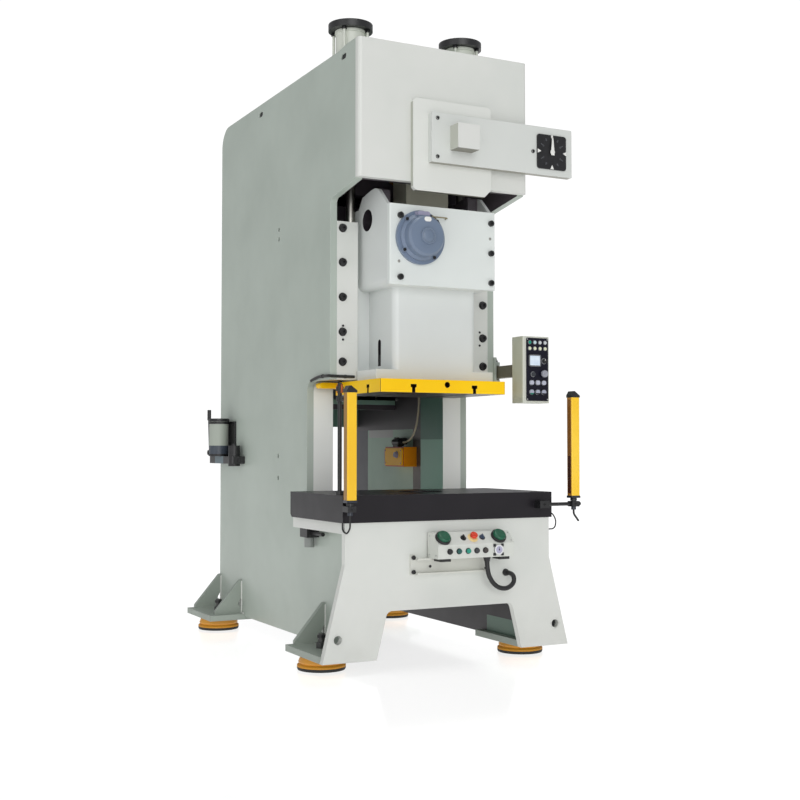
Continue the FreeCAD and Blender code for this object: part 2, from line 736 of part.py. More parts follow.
def rear_guard():
    """Sheet guard over the flywheel, belts and motor pulley, closed at the back."""
    y0, y1 = frame_back, frame_back + guard_depth
    big, small = flywheel_r + 24.0, pulley_r + 50.0
    outer = band_y(0, pinion_height, big, 0, motor_height, small, y0, y1)
    outer = rounded_end(outer, guard_corner_r, y1)
    hollow = band_y(0, pinion_height, big - guard_sheet, 0, motor_height, small - guard_sheet,
                    y0 - 1, y1 - guard_sheet)
    hollow = rounded_end(hollow, guard_corner_r - guard_sheet, y1 - guard_sheet)
    shell = cut(outer, [hollow])
    louvres = []
    for row in range(7):
        z = pinion_height - 90.0 + row * 30.0
        louvres.append(box(-110.0, 110.0, y1 - guard_sheet - 1, y1 + 1, z, z + 9.0))
    return cut(shell, louvres)


def connecting_rod():
    """Rod body: lower half of the split big end, tapered shank and threaded boss."""
    d = rod_depth / 2.0
    neck = ball_height + 205.0
    eye = rod_y(0, pin_height, big_end_r, -d, d)
    reach = big_end_r + 1
    eye = cut(eye, [box(-reach, reach, -d - 1, d + 1, pin_height, pin_height + reach)])
    ears = box(-big_end_r - 28.0, big_end_r + 28.0, -d + 20.0, d - 20.0, pin_height - 55.0, pin_height)
    shank = prism_y([(-big_end_r + 12.0, pin_height - 60.0), (big_end_r - 12.0, pin_height - 60.0),
                     (rod_width / 2, pin_height - 170.0), (rod_width / 2, neck + 80.0), (rod_neck_r, neck),
                     (-rod_neck_r, neck), (-rod_width / 2, neck + 80.0),
                     (-rod_width / 2, pin_height - 170.0)], -d, d)
    boss = rod_z(0, 0, rod_neck_r - 12.0, neck - 90.0, neck + 10.0)
    body = join([eye, ears, shank, boss])
    return cut(body, [rod_y(0, pin_height, crank_pin_r + fit, -d - 1, d + 1),
                      rod_z(0, 0, 42.0, neck - 91.0, ball_height + 305.0)])


def rod_cap():
    d = rod_depth / 2.0
    cap = rod_y(0, pin_height, big_end_r, -d, d)
    reach = big_end_r + 1
    cap = cut(cap, [box(-reach, reach, -d - 1, d + 1, pin_height - reach, pin_height)])
    ears = box(-big_end_r - 28.0, big_end_r + 28.0, -d + 20.0, d - 20.0, pin_height, pin_height + 55.0)
    cap = join([cap, ears])
    cap = cut(cap, [rod_y(0, pin_height, crank_pin_r + fit, -d - 1, d + 1)])
    heads = [rod_z(sx * (big_end_r + 8.0), sy * 24.0, 14.0, pin_height + 55.0, pin_height + 70.0)
             for sx in (-1, 1) for sy in (-1, 1)]
    return join([cap] + heads)


def adjusting_screw():
    """Ball-ended screw that sets the slide's height in the rod."""
    ball = Part.makeSphere(ball_r, V(0, 0, ball_height))
    neck = rod_z(0, 0, 36.0, ball_height, ball_height + 125.0)
    thread = rod_z(0, 0, 42.0 - fit, ball_height + 115.0, ball_height + 300.0)
    return join([ball, neck, thread])


# ---- Slide ----
def slide():
    """Cast slide: guide wings, upper box with a cavity for the rod and an open top, lower block and flange."""
    upper = prism_x([(slide_front, slide_box_bottom), (slide_front, slide_box_front_top),
                     (-100.0, slide_peak - 8.0), (-70.0, slide_peak), (-30.0, slide_peak - 2.0),
                     (guide_front, slide_peak - 19.0), (95.0, slide_peak - 69.0),
                     (slide_back, slide_peak - 69.0), (slide_back, slide_box_bottom)], -slide_half, slide_half)
    upper = rounded(upper, 30.0, V(0, 1, 0), lambda p: p.z < slide_box_bottom + 1)
    block = box(-block_half, block_half, block_front, slide_back, plate_top, slide_box_bottom + 5.0)
    block = rounded(block, block_corner_r, V(0, 0, 1), lambda p: p.y < 0)
    inner_wall = box(-slide_half, slide_half, 110.0, slide_back, plate_top, slide_box_bottom + 5.0)
    wing = box(-wing_half, wing_half, wing_front, wing_back, flange_top, wing_top)
    flange = box(-flange_half, flange_half, block_front, guide_front - 8.0, plate_top, flange_top)
    rear_half = gib_inner - 5.0
    flange_rear = box(-rear_half, rear_half, guide_front - 9.0, slide_back, plate_top, flange_top)
    body = join([upper, block, inner_wall, wing, flange, flange_rear])
    room = rod_width / 2.0 + throw + 10.0
    cavity = box(-room, room, -rod_depth / 2 - 22.0, rod_depth / 2 + 22.0, seat_top - 25.0, slide_peak + 1)
    cheek = slide_half - slide_cheek_t
    pocket = box(-cheek, cheek, slide_front - 1.0, -rod_depth / 2 - 21.0, slide_box_front_top - slide_pocket_depth,
                 slide_peak + 1)
    holes = [cavity, pocket]
    for x0, x1 in ((-slide_half - 1, -room + 1), (room - 1, slide_half + 1)):
        holes.append(rod_x(7.0, slide_box_bottom + 304.0, 48.0, x0, x1))
    slot_r = knockout_slot_w / 2.0
    slot_top = knockout_slot_bottom + knockout_slot_h
    reach = wing_half + 1
    holes.append(box(-reach, reach, -slot_r, slot_r, knockout_slot_bottom, slot_top - slot_r))
    holes.append(rod_x(0, slot_top - slot_r, slot_r, -reach, reach))
    holes.append(rod_z(0, 0, 12.0, plate_top - 1, knockout_slot_bottom + 1))
    return cut(body, holes)


cover_bolt_places = [(-212.0, slide_box_bottom + 296.0), (-212.0, slide_box_bottom + 32.0),
                     (238.0, slide_box_bottom + 296.0), (238.0, slide_box_bottom + 163.0),
                     (238.0, slide_box_bottom + 32.0)]


def slide_cover():
    """Front cover of the slide's upper box, with its bolt heads."""
    y0, y1 = slide_front - slide_cover_t, slide_front
    plate = box(-slide_half, slide_half, y0, y1, slide_box_bottom, slide_box_front_top)
    plate = rounded(plate, 5.0, V(0, 0, 1), lambda p: p.y < y0 + 1)
    heads = [socket_screw_y(x, z, y0, 13.0, 12.0, 7.0) for x, z in cover_bolt_places]
    return join([plate] + heads)


def tee_slot_y(x):
    neck = box(x - tee_neck / 2, x + tee_neck / 2, plate_front - 1, plate_back + 1, plate_bottom - 1,
               plate_bottom + tee_depth)
    head = box(x - tee_head / 2, x + tee_head / 2, plate_front - 1, plate_back + 1,
               plate_bottom + tee_depth - tee_head_h, plate_bottom + tee_depth)
    return join([neck, head])


def tee_slot_x(y):
    reach = plate_half + 90.0
    neck = box(-reach, reach, y - tee_neck / 2, y + tee_neck / 2, plate_bottom - 1, plate_bottom + tee_depth)
    head = box(-reach, reach, y - tee_head / 2, y + tee_head / 2,
               plate_bottom + tee_depth - tee_head_h, plate_bottom + tee_depth)
    return join([neck, head])


def slide_plate():
    """Tool plate under the slide: tee slots, shank bore, clamp screw hole and the rear cable arm."""
    plate = box(-plate_half, plate_half, plate_front, plate_back, plate_bottom, plate_top)
    plate = rounded(plate, 6.0, V(0, 0, 1))
    arm_bar = box(-plate_half - 84.0, -plate_half + 30.0, plate_back - 20.0, plate_back + 26.0,
                  plate_top - 26.0, plate_top)
    arm_bar = rounded(arm_bar, 12.0, V(0, 1, 0), lambda p: p.x < -plate_half - 80.0)
    body = join([plate, arm_bar])
    return cut(body, [tee_slot_y(-tee_x), tee_slot_y(tee_x), tee_slot_x(-97.0),
                      rod_z(0, 0, shank_r, plate_bottom - 1, plate_top + 1),
                      rod_y(14.0, plate_bottom + 36.0, 13.0, plate_front - 1, -shank_r + 2.0)])


def overload_piston():
    """Seat of the ball on the overload cushion, dished on top."""
    disc = rod_z(0, 0, rod_depth / 2.0 + 20.0, seat_top - 25.0, seat_top)
    dish = Part.makeSphere(ball_r + 60.0, V(0, 0, seat_top + ball_r + 48.0))
    return cut(disc, [dish])


def adjusting_motor():
    """Geared motor on the slide's cover that turns the height adjustment."""
    x, z = -118.0, slide_box_bottom + 205.0
    face = slide_front - slide_cover_t
    body = turned_y([(0, face - 72.0), (78.0, face - 72.0), (86.0, face - 64.0), (88.0, face - 30.0),
                     (100.0, face - 22.0), (100.0, face - 14.0), (116.0, face - 14.0), (116.0, face),
                     (0, face)], x, z)
    lug = box(x - 30.0, x + 28.0, face - 44.0, face, z + 60.0, z + 108.0)
    lug = rounded(lug, 10.0, V(0, 1, 0), lambda p: p.z > z + 100.0)
    ears = []
    for angle in (135, 215, 305, 45):
        a = math.radians(angle)
        ears.append(rod_y(x + 103.0 * math.cos(a), z + 103.0 * math.sin(a), 9.0, face - 24.0, face))
    gland = rod_x(face - 24.0, z + 92.0, 7.0, x + 20.0, x + 44.0)
    body = join([body, lug, gland] + ears)
    recess = turned_y([(26.0, face - 73.0), (32.0, face - 73.0), (32.0, face - 69.0),
                       (26.0, face - 69.0)], x, z)
    return cut(body, [recess])


def motor_conduit():
    """Thin pipe from the adjusting motor's gland into the slide's cover."""
    face = slide_front - slide_cover_t
    z = slide_box_bottom + 297.0
    points = [V(-74.0, face - 24.0, z), V(8.0, face - 24.0, z), V(8.0, face, z)]
    return tube_along(points, 3.0)


def balance_cylinder(x, y):
    """Air cylinder through the crown's top plate: tube, end caps and tie rods."""
    z0, z1 = cylinder_bottom, cylinder_top
    bore = cylinder_r - cylinder_wall
    cap_z = z1 - cylinder_cap_t
    tube = turned_z([(bore, z0 + 20.0), (cylinder_r, z0 + 20.0), (cylinder_r, cap_z), (bore, cap_z)], x, y)
    top = rod_z(x, y, cylinder_cap_r, cap_z, z1)
    bottom = turned_z([(balance_rod_r + 0.1, z0), (cylinder_r, z0), (cylinder_r, z0 + 20.0),
                       (balance_rod_r + 0.1, z0 + 20.0)], x, y)
    collar = turned_z([(cylinder_r, frame_top), (cylinder_cap_r - 12.0, frame_top),
                       (cylinder_cap_r - 12.0, frame_top + 16.0), (cylinder_r, frame_top + 16.0)], x, y)
    rods = []
    for index in range(4):
        a = math.radians(45 + 90 * index)
        rods.append(rod_z(x + 81.0 * math.cos(a), y + 81.0 * math.sin(a), 6.0, frame_top + 16.0, cap_z))
    return join([tube, top, bottom, collar] + rods)


def balance_cylinders():
    return group([balance_cylinder(x, cylinder_y) for x in (-cylinder_x, cylinder_x)])


def balance_rods():
    """Pistons and rods; each rod is screwed into a wing of the slide."""
    bore = cylinder_r - cylinder_wall
    top = cylinder_top - cylinder_cap_t - 12.0
    rods = []
    for x in (-cylinder_x, cylinder_x):
        rods.append(join([rod_z(x, cylinder_y, bore - 0.3, top - 30.0, top),
                          rod_z(x, cylinder_y, balance_rod_r, wing_top, top)]))
    return group(rods)


def knockout_bar():
    y = knockout_slot_w / 2.0 - 1.0
    return box(-block_half + 4.0, block_half - 4.0, -y, y, knockout_slot_bottom, knockout_slot_bottom + 50.0)


# ---- Crank angle indicator on the crown ----
pad_left, pad_right = -171.0, 217.0
pad_low, pad_high = crank_height - 199.0, crank_height + 198.0
arm_left, arm_right = -98.0, 622.0
arm_low, arm_high = crank_height - 78.0, crank_height + 138.0
indicator_pad_t = 22.0
indicator_arm_t = 32.0
dial_x, dial_z = 511.0, crank_height + 27.0
dial_half = 77.0


def indicator_base():
    y0 = crown_front - indicator_pad_t
    pad = box(pad_left, pad_right, y0, crown_front, pad_low, pad_high)
    pad = rounded(pad, 22.0, V(0, 1, 0), lambda p: not (p.x > 0 and p.z < crank_height))
    corner = edges_along(pad, V(0, 1, 0), lambda p: p.x > 0 and p.z < pad_low + 1)
    pad = pad.makeChamfer(34.0, corner)
    return cut(pad, [rod_y(0, crank_height, 34.0, y0 + 8.0, crown_front + 1)])


def indicator_arm():
    y1 = crown_front - indicator_pad_t
    y0 = y1 - indicator_arm_t
    arm = box(arm_left, arm_right, y0, y1, arm_low, arm_high)
    arm = rounded(arm, 5.0, V(0, 1, 0))
    arm = cut(arm, [rod_y(dial_x, dial_z, 5.0 + fit, y0 - 1, y0 + 20.0)])
    places = ((-70.0, arm_high - 25.0), (-70.0, arm_low + 25.0), (414.0, dial_z - 4.0))
    screws = [rod_y(x, z, 6.0, y0 - 5.0, y0) for x, z in places]
    case = box(-8.0, 101.0, y0 - 68.0, y0, crank_height - 21.0, crank_height + 87.0)
    case = rounded(case, 4.0, V(0, 1, 0))
    return join([arm, case] + screws)


def dial_face():
    y1 = crown_front - indicator_pad_t - indicator_arm_t
    face = box(dial_x - dial_half, dial_x + dial_half, y1 - 6.0, y1, dial_z - dial_half, dial_z + dial_half)
    face = rounded(face, 12.0, V(0, 1, 0))
    face = cut(face, [rod_y(dial_x, dial_z, 5.0 + fit, y1 - 7.0, y1 + 1)])
    ticks = []
    for index in range(12):
        a = math.radians(30 * index)
        tick = box(-2.0, 2.0, y1 - 8.0, y1 - 6.0, 56.0, 68.0)
        tick.rotate(V(0, 0, 0), V(0, 1, 0), math.degrees(a))
        tick.translate(V(dial_x, 0, dial_z))
        ticks.append(tick)
    return join([face] + ticks)


def dial_needle():
    y1 = crown_front - indicator_pad_t - indicator_arm_t
    shaft = rod_y(dial_x, dial_z, 5.0, y1 - 14.0, y1 + 18.0)
    hub = rod_y(dial_x, dial_z, 11.0, y1 - 14.0, y1 - 10.0)
    pointer = prism_y([(dial_x - 5.0, dial_z - 14.0), (dial_x + 5.0, dial_z - 14.0),
                       (dial_x + 2.0, dial_z + 66.0), (dial_x - 2.0, dial_z + 66.0)], y1 - 13.0, y1 - 10.0)
    return join([shaft, hub, pointer])


# ---- Light curtains ----
curtain_length = 436.0
curtain_bottom = -18.0
curtain_w = 44.0
curtain_d = 38.0
curtain_front = -bolster_back - 52.0
curtain_left_x = 18.0 - bolster_width / 2.0
curtain_right_x = bolster_width / 2.0 + 95.0


def light_curtains():
    bars = []
    for x in (curtain_left_x, curtain_right_x):
        z0, z1 = curtain_bottom, curtain_bottom + curtain_length
        bar = box(x - curtain_w / 2, x + curtain_w / 2, curtain_front, curtain_front + curtain_d, z0, z1)
        bars.append(rounded(bar, 5.0, V(0, 0, 1)))
    return bars


def curtain_ends():
    """Black end caps of the curtains and the gland under each."""
    ends = []
    middle = curtain_front + curtain_d / 2.0
    for x in (curtain_left_x, curtain_right_x):
        z0, z1 = curtain_bottom, curtain_bottom + curtain_length
        top = prism_y([(x - 23.0, z1), (x + 23.0, z1), (x + 23.0, z1 + 8.0), (x - 4.0, z1 + 28.0),
                       (x - 12.0, z1 + 28.0), (x - 23.0, z1 + 10.0)], curtain_front - 1.0,
                      curtain_front + curtain_d + 1.0)
        bottom = box(x - 23.0, x + 23.0, curtain_front - 1.0, curtain_front + curtain_d + 1.0,
                     z0 - 10.0, z0)
        gland = rod_z(x, middle, 11.0, z0 - 62.0, z0 - 10.0)
        ends.append(top)
        ends.append(join([bottom, gland]))
    return ends


def curtain_brackets():
    """Clamped rods that carry the curtains on the bolster's front."""
    middle = curtain_front + curtain_d / 2.0
    rod_height = curtain_bottom - 36.0
    half_b = bolster_width / 2.0
    front_face = -bolster_depth / 2.0
    right_rod = rod_x(middle, rod_height, 8.0, half_b - 60.0, curtain_right_x + 34.0)
    right_foot = box(half_b - 90.0, half_b - 40.0, middle - 12.0, front_face,
                     rod_height - 16.0, rod_height + 16.0)
    right = cut(join([right_rod, right_foot]), [rod_z(curtain_right_x, middle, 11.0 + 0.1, -200.0, 0.0)])
    clamp = box(curtain_right_x - 19.0, curtain_right_x + 19.0, middle - 19.0, middle + 19.0,
                rod_height - 12.0, rod_height + 12.0)
    clamp = cut(clamp, [rod_z(curtain_right_x, middle, 11.1, -200.0, 0.0)])
    right = join([right, clamp])
    left_foot = box(curtain_left_x - 19.0, curtain_left_x + 19.0, middle - 19.0, front_face,
                    rod_height - 12.0, rod_height + 12.0)
    left = cut(left_foot, [rod_z(curtain_left_x, middle, 11.1, -200.0, 0.0)])
    post_x, post_y = curtain_left_x, 69.0 - bolster_back
    post = join([rod_z(post_x, post_y, 9.0, 16.0, 462.0), rod_z(post_x, post_y, 17.0, 0.0, 16.0)])
    tie = box(post_x - 7.0, post_x + 7.0, curtain_front + curtain_d, post_y - 8.0, 385.0, 405.0)
    collar = rod_z(post_x, post_y, 15.0, 385.0, 405.0)
    return group([right, left, join([post, tie, collar])])


def light_curtain_cables():
    """Leads under the curtains, and the thin lead from the bolster's side into the base."""
    middle = curtain_front + curtain_d / 2.0
    end = curtain_bottom - 62.0
    base_side = base_top_width / 2.0
    x = curtain_left_x
    behind = -base_side - 5.5
    loop = tube_along([V(x, middle, end), V(x, middle, end - 52.0), V(x - 9.0, middle + 10.0, end - 74.0),
                       V(behind, middle + 49.0, end - 64.0), V(behind, middle + 49.0, bed_top)], 3.5)
    x = curtain_right_x
    tail = tube_along([V(x, middle, end), V(x, middle, end - 18.0), V(x + 26.0, middle, end - 50.0)], 4.5)
    side = bolster_width / 2.0
    y = 38.0 - bolster_back
    entry_y = base_front + 15.0
    hook = tube_along([V(side, y, bed_top + 16.0), V(side + 28.0, y, bed_top + 16.0),
                       V(base_side + 58.5, y - 6.0, bed_top - 16.0), V(base_side + 42.5, entry_y, bed_top - 54.0),
                       V(base_side, entry_y, bed_top - 54.0)], 3.0)
    return [loop, tail, hook]


# ---- Two-hand control ----
control_left, control_right = -119.0, 251.0
control_low, control_high = -266.0, -160.0
control_front, control_back = base_front - 100.0, base_front - 10.0
control_slope_y = base_front - 52.0
control_slope_z = control_low + 58.0
palm_r = 29.0
palm_travel = 0.006
palm_xs = (-84.0, 186.0)


def slope_frame():
    """Middle point and outward normal of the control box's sloping face."""
    a = V(0, control_front, control_slope_z)
    b = V(0, control_slope_y, control_high)
    along = b.sub(a).normalize()
    normal = V(0, -along.z, along.y)
    return (a + b) * 0.5, normal


def on_slope(x, r, low, high):
    """Cylinder square to the sloping face, from low to high above it."""
    middle, normal = slope_frame()
    start = V(x, middle.y, middle.z) + normal * low
    return Part.makeCylinder(r, high - low, start, normal)


def control_box():
    """Sheet box with a sloping top that carries the hand controls, and its fixed collars."""
    outline = [(control_front, control_low), (control_front, control_slope_z),
               (control_slope_y, control_high), (control_back, control_high), (control_back, control_low)]
    case = prism_x(outline, control_left, control_right)
    sockets = []
    collars = []
    for x in palm_xs:
        collar = on_slope(x, palm_r + 3.0, 0.0, 12.0)
        collars.append(collar)
        sockets.append(on_slope(x, 12.0 + fit, -20.0, 13.0))
        sockets.append(on_slope(x, palm_r + 0.4, 4.0, 13.0))
    collars.append(on_slope(60.0, 17.0, 0.0, 4.0))
    sockets.append(on_slope(60.0, 7.0 + fit, -20.0, 5.0))
    for x in (14.0, 106.0):
        sockets.append(on_slope(x, 5.0 + fit, -12.0, 5.0))
    body = cut(join([case] + collars), sockets)
    return body


front_row = [-64.0, -20.0, 24.0, 66.0, 108.0]
front_row_z = control_low + 30.0


def control_fittings():
    """Fixed lamps, key switches and counter on the box's front."""
    items = []
    for x in front_row:
        items.append(rod_y(x, front_row_z, 10.0, control_front - 10.0, control_front))
    meter_x = 172.0
    items.append(rod_y(meter_x, front_row_z, 21.0, control_front - 8.0, control_front))
    for sx in (-1, 1):
        for sz in (-1, 1):
            x, z = meter_x + sx * 19.0, front_row_z + sz * 19.0
            items.append(box(x - 6.0, x + 6.0, control_front - 4.0, control_front, z - 6.0, z + 6.0))
    return items


def control_bracket():
    """Channel bolted to the base that carries the control box, and its two buffers."""
    y1 = base_front
    top, low = control_low, control_low - 68.0
    channel = prism_x([(y1 - 34.0, top), (y1, top), (y1, low), (y1 - 34.0, low), (y1 - 34.0, low + 8.0),
                       (y1 - 8.0, low + 8.0), (y1 - 8.0, top - 8.0), (y1 - 34.0, top - 8.0)], -180.0, 160.0)
    ear = box(-200.0, -180.0, y1 - 10.0, y1, low, top + 16.0)
    support = box(control_left + 20.0, control_right - 20.0, control_back, y1, top + 26.0, top + 76.0)
    buffers = [box(x, x + 48.0, control_front + 6.0, y1 - 35.0, control_low - 12.0, control_low)
               for x in (control_left + 16.0, control_right - 68.0)]
    bolts = [rod_y(-190.0, z, 7.0, y1 - 18.0, y1 - 10.0) for z in (top + 4.0, low + 12.0)]
    return group([join([channel, ear] + bolts), support] + buffers)


def palm_button(x):
    """Mushroom push button: domed head on a stem."""
    middle, normal = slope_frame()
    base = V(x, middle.y, middle.z)
    stem = Part.makeCylinder(12.0, 28.0, base + normal * -14.0, normal)
    head = Part.makeCylinder(palm_r, 14.0, base + normal * 10.5, normal)
    top_edges = [e for e in head.Edges if e.Closed and (e.CenterOfMass.sub(base)).dot(normal) > 20.0]
    head = head.makeFillet(9.0, top_edges)
    return join([stem, head])


def emergency_stop():
    middle, normal = slope_frame()
    base = V(60.0, middle.y, middle.z)
    stem = Part.makeCylinder(7.0, 24.0, base + normal * -10.0, normal)
    head = Part.makeCylinder(16.0, 12.0, base + normal * 12.0, normal)
    top_edges = [e for e in head.Edges if e.Closed and (e.CenterOfMass.sub(base)).dot(normal) > 20.0]
    head = head.makeFillet(5.0, top_edges)
    return join([stem, head])


def selector(x):
    """Turn switch: round skirt with a raised finger bar."""
    middle, normal = slope_frame()
    base = V(x, middle.y, middle.z)
    stem = Part.makeCylinder(5.0, 10.0, base + normal * -8.0, normal)
    skirt = Part.makeCylinder(10.0, 5.0, base + normal * 0.4, normal)
    bar = Part.makeBox(5.0, 18.0, 9.0, V(-2.5, -9.0, 5.0))
    bar.Placement = FreeCAD.Placement(base, FreeCAD.Rotation(V(0, 0, 1), normal)).multiply(bar.Placement)
    return join([stem, skirt, bar])


def control_hose():
    """Conduit from the control box down in a loop and back into the base."""
    y, z = base_front - 57.0, control_low
    points = [V(142.0, y, z), V(142.0, y, z - 39.0), V(176.0, y, z - 118.0), V(236.0, y, z - 146.0),
              V(284.0, y + 4.0, z - 112.0), V(270.0, y + 18.0, z - 79.0), V(270.0, base_front, z - 79.0)]
    return tube_along(points, 10.0)


# ---- Pendant ----
swivel_x, swivel_y = half + 31.5, 100.0
pendant_left, pendant_right = swivel_x - 70.0, swivel_x + 71.0
pendant_low, pendant_high = 393.0, 689.0
pendant_front, pendant_back = -250.0, -160.0
pendant_arm_z = 545.0


def pendant_bracket():
    """Bracket on the right side plate with the swivel's eye."""
    plate = box(half, half + 12.0, swivel_y - 50.0, swivel_y + 50.0,
                pendant_arm_z - 70.0, pendant_arm_z + 70.0)
    ears = []
    for z0 in (pendant_arm_z - 50.0, pendant_arm_z + 34.0):
        ear = box(half + 12.0, swivel_x + 4.0, swivel_y - 22.0, swivel_y + 22.0, z0, z0 + 16.0)
        ears.append(ear)
        ears.append(rod_z(swivel_x + 4.0, swivel_y, 22.0, z0, z0 + 16.0))
    pin = rod_z(swivel_x + 4.0, swivel_y, 9.0, pendant_arm_z - 50.0, pendant_arm_z + 50.0)
    return join([plate] + ears + [pin])


def pendant_arm():
    x = swivel_x + 4.0
    tube = rod_z(x, swivel_y, 20.0, pendant_arm_z - 33.7, pendant_arm_z + 33.7)
    bar = box(x - 18.0, x + 18.0, pendant_back, swivel_y, pendant_arm_z - 28.0, pendant_arm_z + 28.0)
    bore = rod_z(x, swivel_y, 9.0 + fit, pendant_arm_z - 60.0, pendant_arm_z + 60.0)
    return cut(join([tube, bar]), [bore])


pendant_keys = [(x, z) for z in (pendant_low + 48.0, pendant_low + 90.0)
                for x in (pendant_left + 43.0, pendant_left + 75.0, pendant_left + 107.0)]
pendant_knob_x, pendant_knob_z = pendant_left + 110.0, pendant_low + 187.0
pendant_stop_x, pendant_stop_z = pendant_left + 106.0, pendant_low + 130.0


def pendant_box():
    """Operator's box: case, raised panel with keys, lamps and screen."""
    case = box(pendant_left, pendant_right, pendant_front, pendant_back, pendant_low, pendant_high)
    case = rounded(case, 6.0, V(0, 0, 1))
    y0, y1 = pendant_front - 1, pendant_front + 20.0
    return cut(case, [rod_y(pendant_knob_x, pendant_knob_z, 5.0 + fit, y0, y1),
                      rod_y(pendant_stop_x, pendant_stop_z, 5.0 + fit, y0, y1)])


def pendant_panel():
    y1 = pendant_front
    panel = box(pendant_left + 18.0, pendant_right - 8.0, y1 - 3.0, y1,
                pendant_low + 9.0, pendant_high - 7.0)
    panel = rounded(panel, 5.0, V(0, 1, 0))
    panel = cut(panel, [rod_y(pendant_knob_x, pendant_knob_z, 5.0 + fit, y1 - 4.0, y1 + 1),
                        rod_y(pendant_stop_x, pendant_stop_z, 5.0 + fit, y1 - 4.0, y1 + 1)])
    return panel


def pendant_fittings():
    """Keys, lamps and the screen's bezel, moulded on the panel."""
    face = pendant_front - 3.0
    items = [rod_y(x, z, 11.0, face - 7.0, face) for x, z in pendant_keys]
    left, low = pendant_left, pendant_low
    for z in (low + 269.0, low + 242.0):
        for index in range(4):
            items.append(rod_y(left + 34.0 + index * 27.0, z, 7.0, face - 5.0, face))
    items.append(box(left + 33.0, left + 88.0, face - 4.0, face, low + 165.0, low + 211.0))
    items.append(rod_y(left + 52.0, low + 127.0, 10.0, face - 8.0, face))
    return items


def pendant_knob():
    face = pendant_front - 3.0
    return join([rod_y(pendant_knob_x, pendant_knob_z, 10.0, face - 12.0, face - 0.4),
                 rod_y(pendant_knob_x, pendant_knob_z, 5.0, face - 1.0, face + 14.0)])


def pendant_stop():
    face = pendant_front - 3.0
    head = rod_y(pendant_stop_x, pendant_stop_z, 16.0, face - 20.0, face - 8.0)
    front_edges = [e for e in head.Edges if e.Closed and e.CenterOfMass.y < face - 15.0]
    head = head.makeFillet(5.0, front_edges)
    return join([head, rod_y(pendant_stop_x, pendant_stop_z, 5.0, face - 9.0, face + 14.0)])


# ---- Lubrication pump, air fittings ----
pump_y = 1445.0
pump_x = -half


def grease_pump():
    """Hand pump on the left side plate: reservoir, base block and lever bearing."""
    x1 = pump_x
    base = box(x1 - 62.0, x1, pump_y - 330.0, pump_y + 40.0, 112.0, 150.0)
    bracket = box(x1 - 12.0, x1, pump_y - 200.0, pump_y - 20.0, 112.0, 330.0)
    reservoir = rod_z(x1 - 64.0, pump_y - 110.0, 50.0, 150.0, 330.0)
    lid = rod_z(x1 - 64.0, pump_y - 110.0, 54.0, 330.0, 346.0)
    barrel = rod_z(x1 - 40.0, pump_y - 280.0, 30.0, 100.0, 205.0)
    pivot = rod_x(pump_y + 12.0, 168.0, 9.0, x1 - 80.0, x1)
    return join([base, bracket, reservoir, lid, barrel, pivot])


def pump_lever():
    x = pump_x - 60.0
    hub = rod_x(pump_y + 12.0, 168.0, 17.0, x - 16.0, x - 1.0)
    bore = rod_x(pump_y + 12.0, 168.0, 9.0 + fit, x - 21.0, x + 1.0)
    bar = prism_x([(pump_y + 4.0, 168.0), (pump_y + 22.0, 160.0), (pump_y + 42.0, 345.0),
                   (pump_y + 26.0, 345.0)], x - 13.0, x - 4.0)
    grip = rod_z(x - 8.5, pump_y + 34.0, 10.0, 340.0, 395.0)
    return cut(join([hub, bar, grip]), [bore])


valve_w = 84.0
valve_front = 757.0
valve_back = 963.0
valve_bottom = 97.0
valve_top = 198.0
valve_gland_y = 850.0
valve_cable_x = inner - valve_w / 2.0
valve_cable_z = valve_top + 24.0


def throat_valve_box():
    """Air valve on the inside of the right side plate, with its lid, button and cable gland."""
    x = inner - valve_w
    body = box(x + 8.0, inner, valve_front, valve_back, valve_bottom, valve_top)
    lid = box(x, x + 8.0, valve_front + 6.0, valve_back - 6.0, valve_bottom + 6.0, valve_top - 6.0)
    button = rod_x(valve_front + 60.0, valve_top - 40.0, 14.0, x - 14.0, x)
    gland = rod_y(valve_cable_x, valve_cable_z, 18.0, valve_gland_y, valve_gland_y + 75.0)
    foot = box(valve_cable_x - 14.0, valve_cable_x + 14.0, valve_gland_y + 12.0, valve_gland_y + 66.0,
               valve_top, valve_cable_z)
    return join([body, rounded(lid, 12.0, V(1, 0, 0)), button, gland, foot])


def valve_cable():
    """Flexible lead from the valve up to the underside of the head."""
    x, y, z = valve_cable_x, valve_gland_y, valve_cable_z
    points = [V(x, y, z), V(x, y - 58.0, z), V(x, y - 120.0, z + 21.0), V(x, y - 166.0, z + 73.0),
              V(x, y - 190.0, z + 142.0), V(x, y - 198.0, z + 206.0), V(x, y - 198.0, throat_top)]
    return tube_along(points, 5.0)


def air_regulator():
    """Filter regulator hung under the bolster's overhang."""
    x = -half
    block = box(x - 58.0, x, 170.0, 250.0, bed_bottom - 40.0, bed_bottom)
    bowl = rod_z(x - 30.0, 210.0, 22.0, bed_bottom - 84.0, bed_bottom - 40.0)
    pipe = rod_y(x - 30.0, bed_bottom - 20.0, 9.0, 60.0, 170.0)
    return join([block, bowl, pipe])


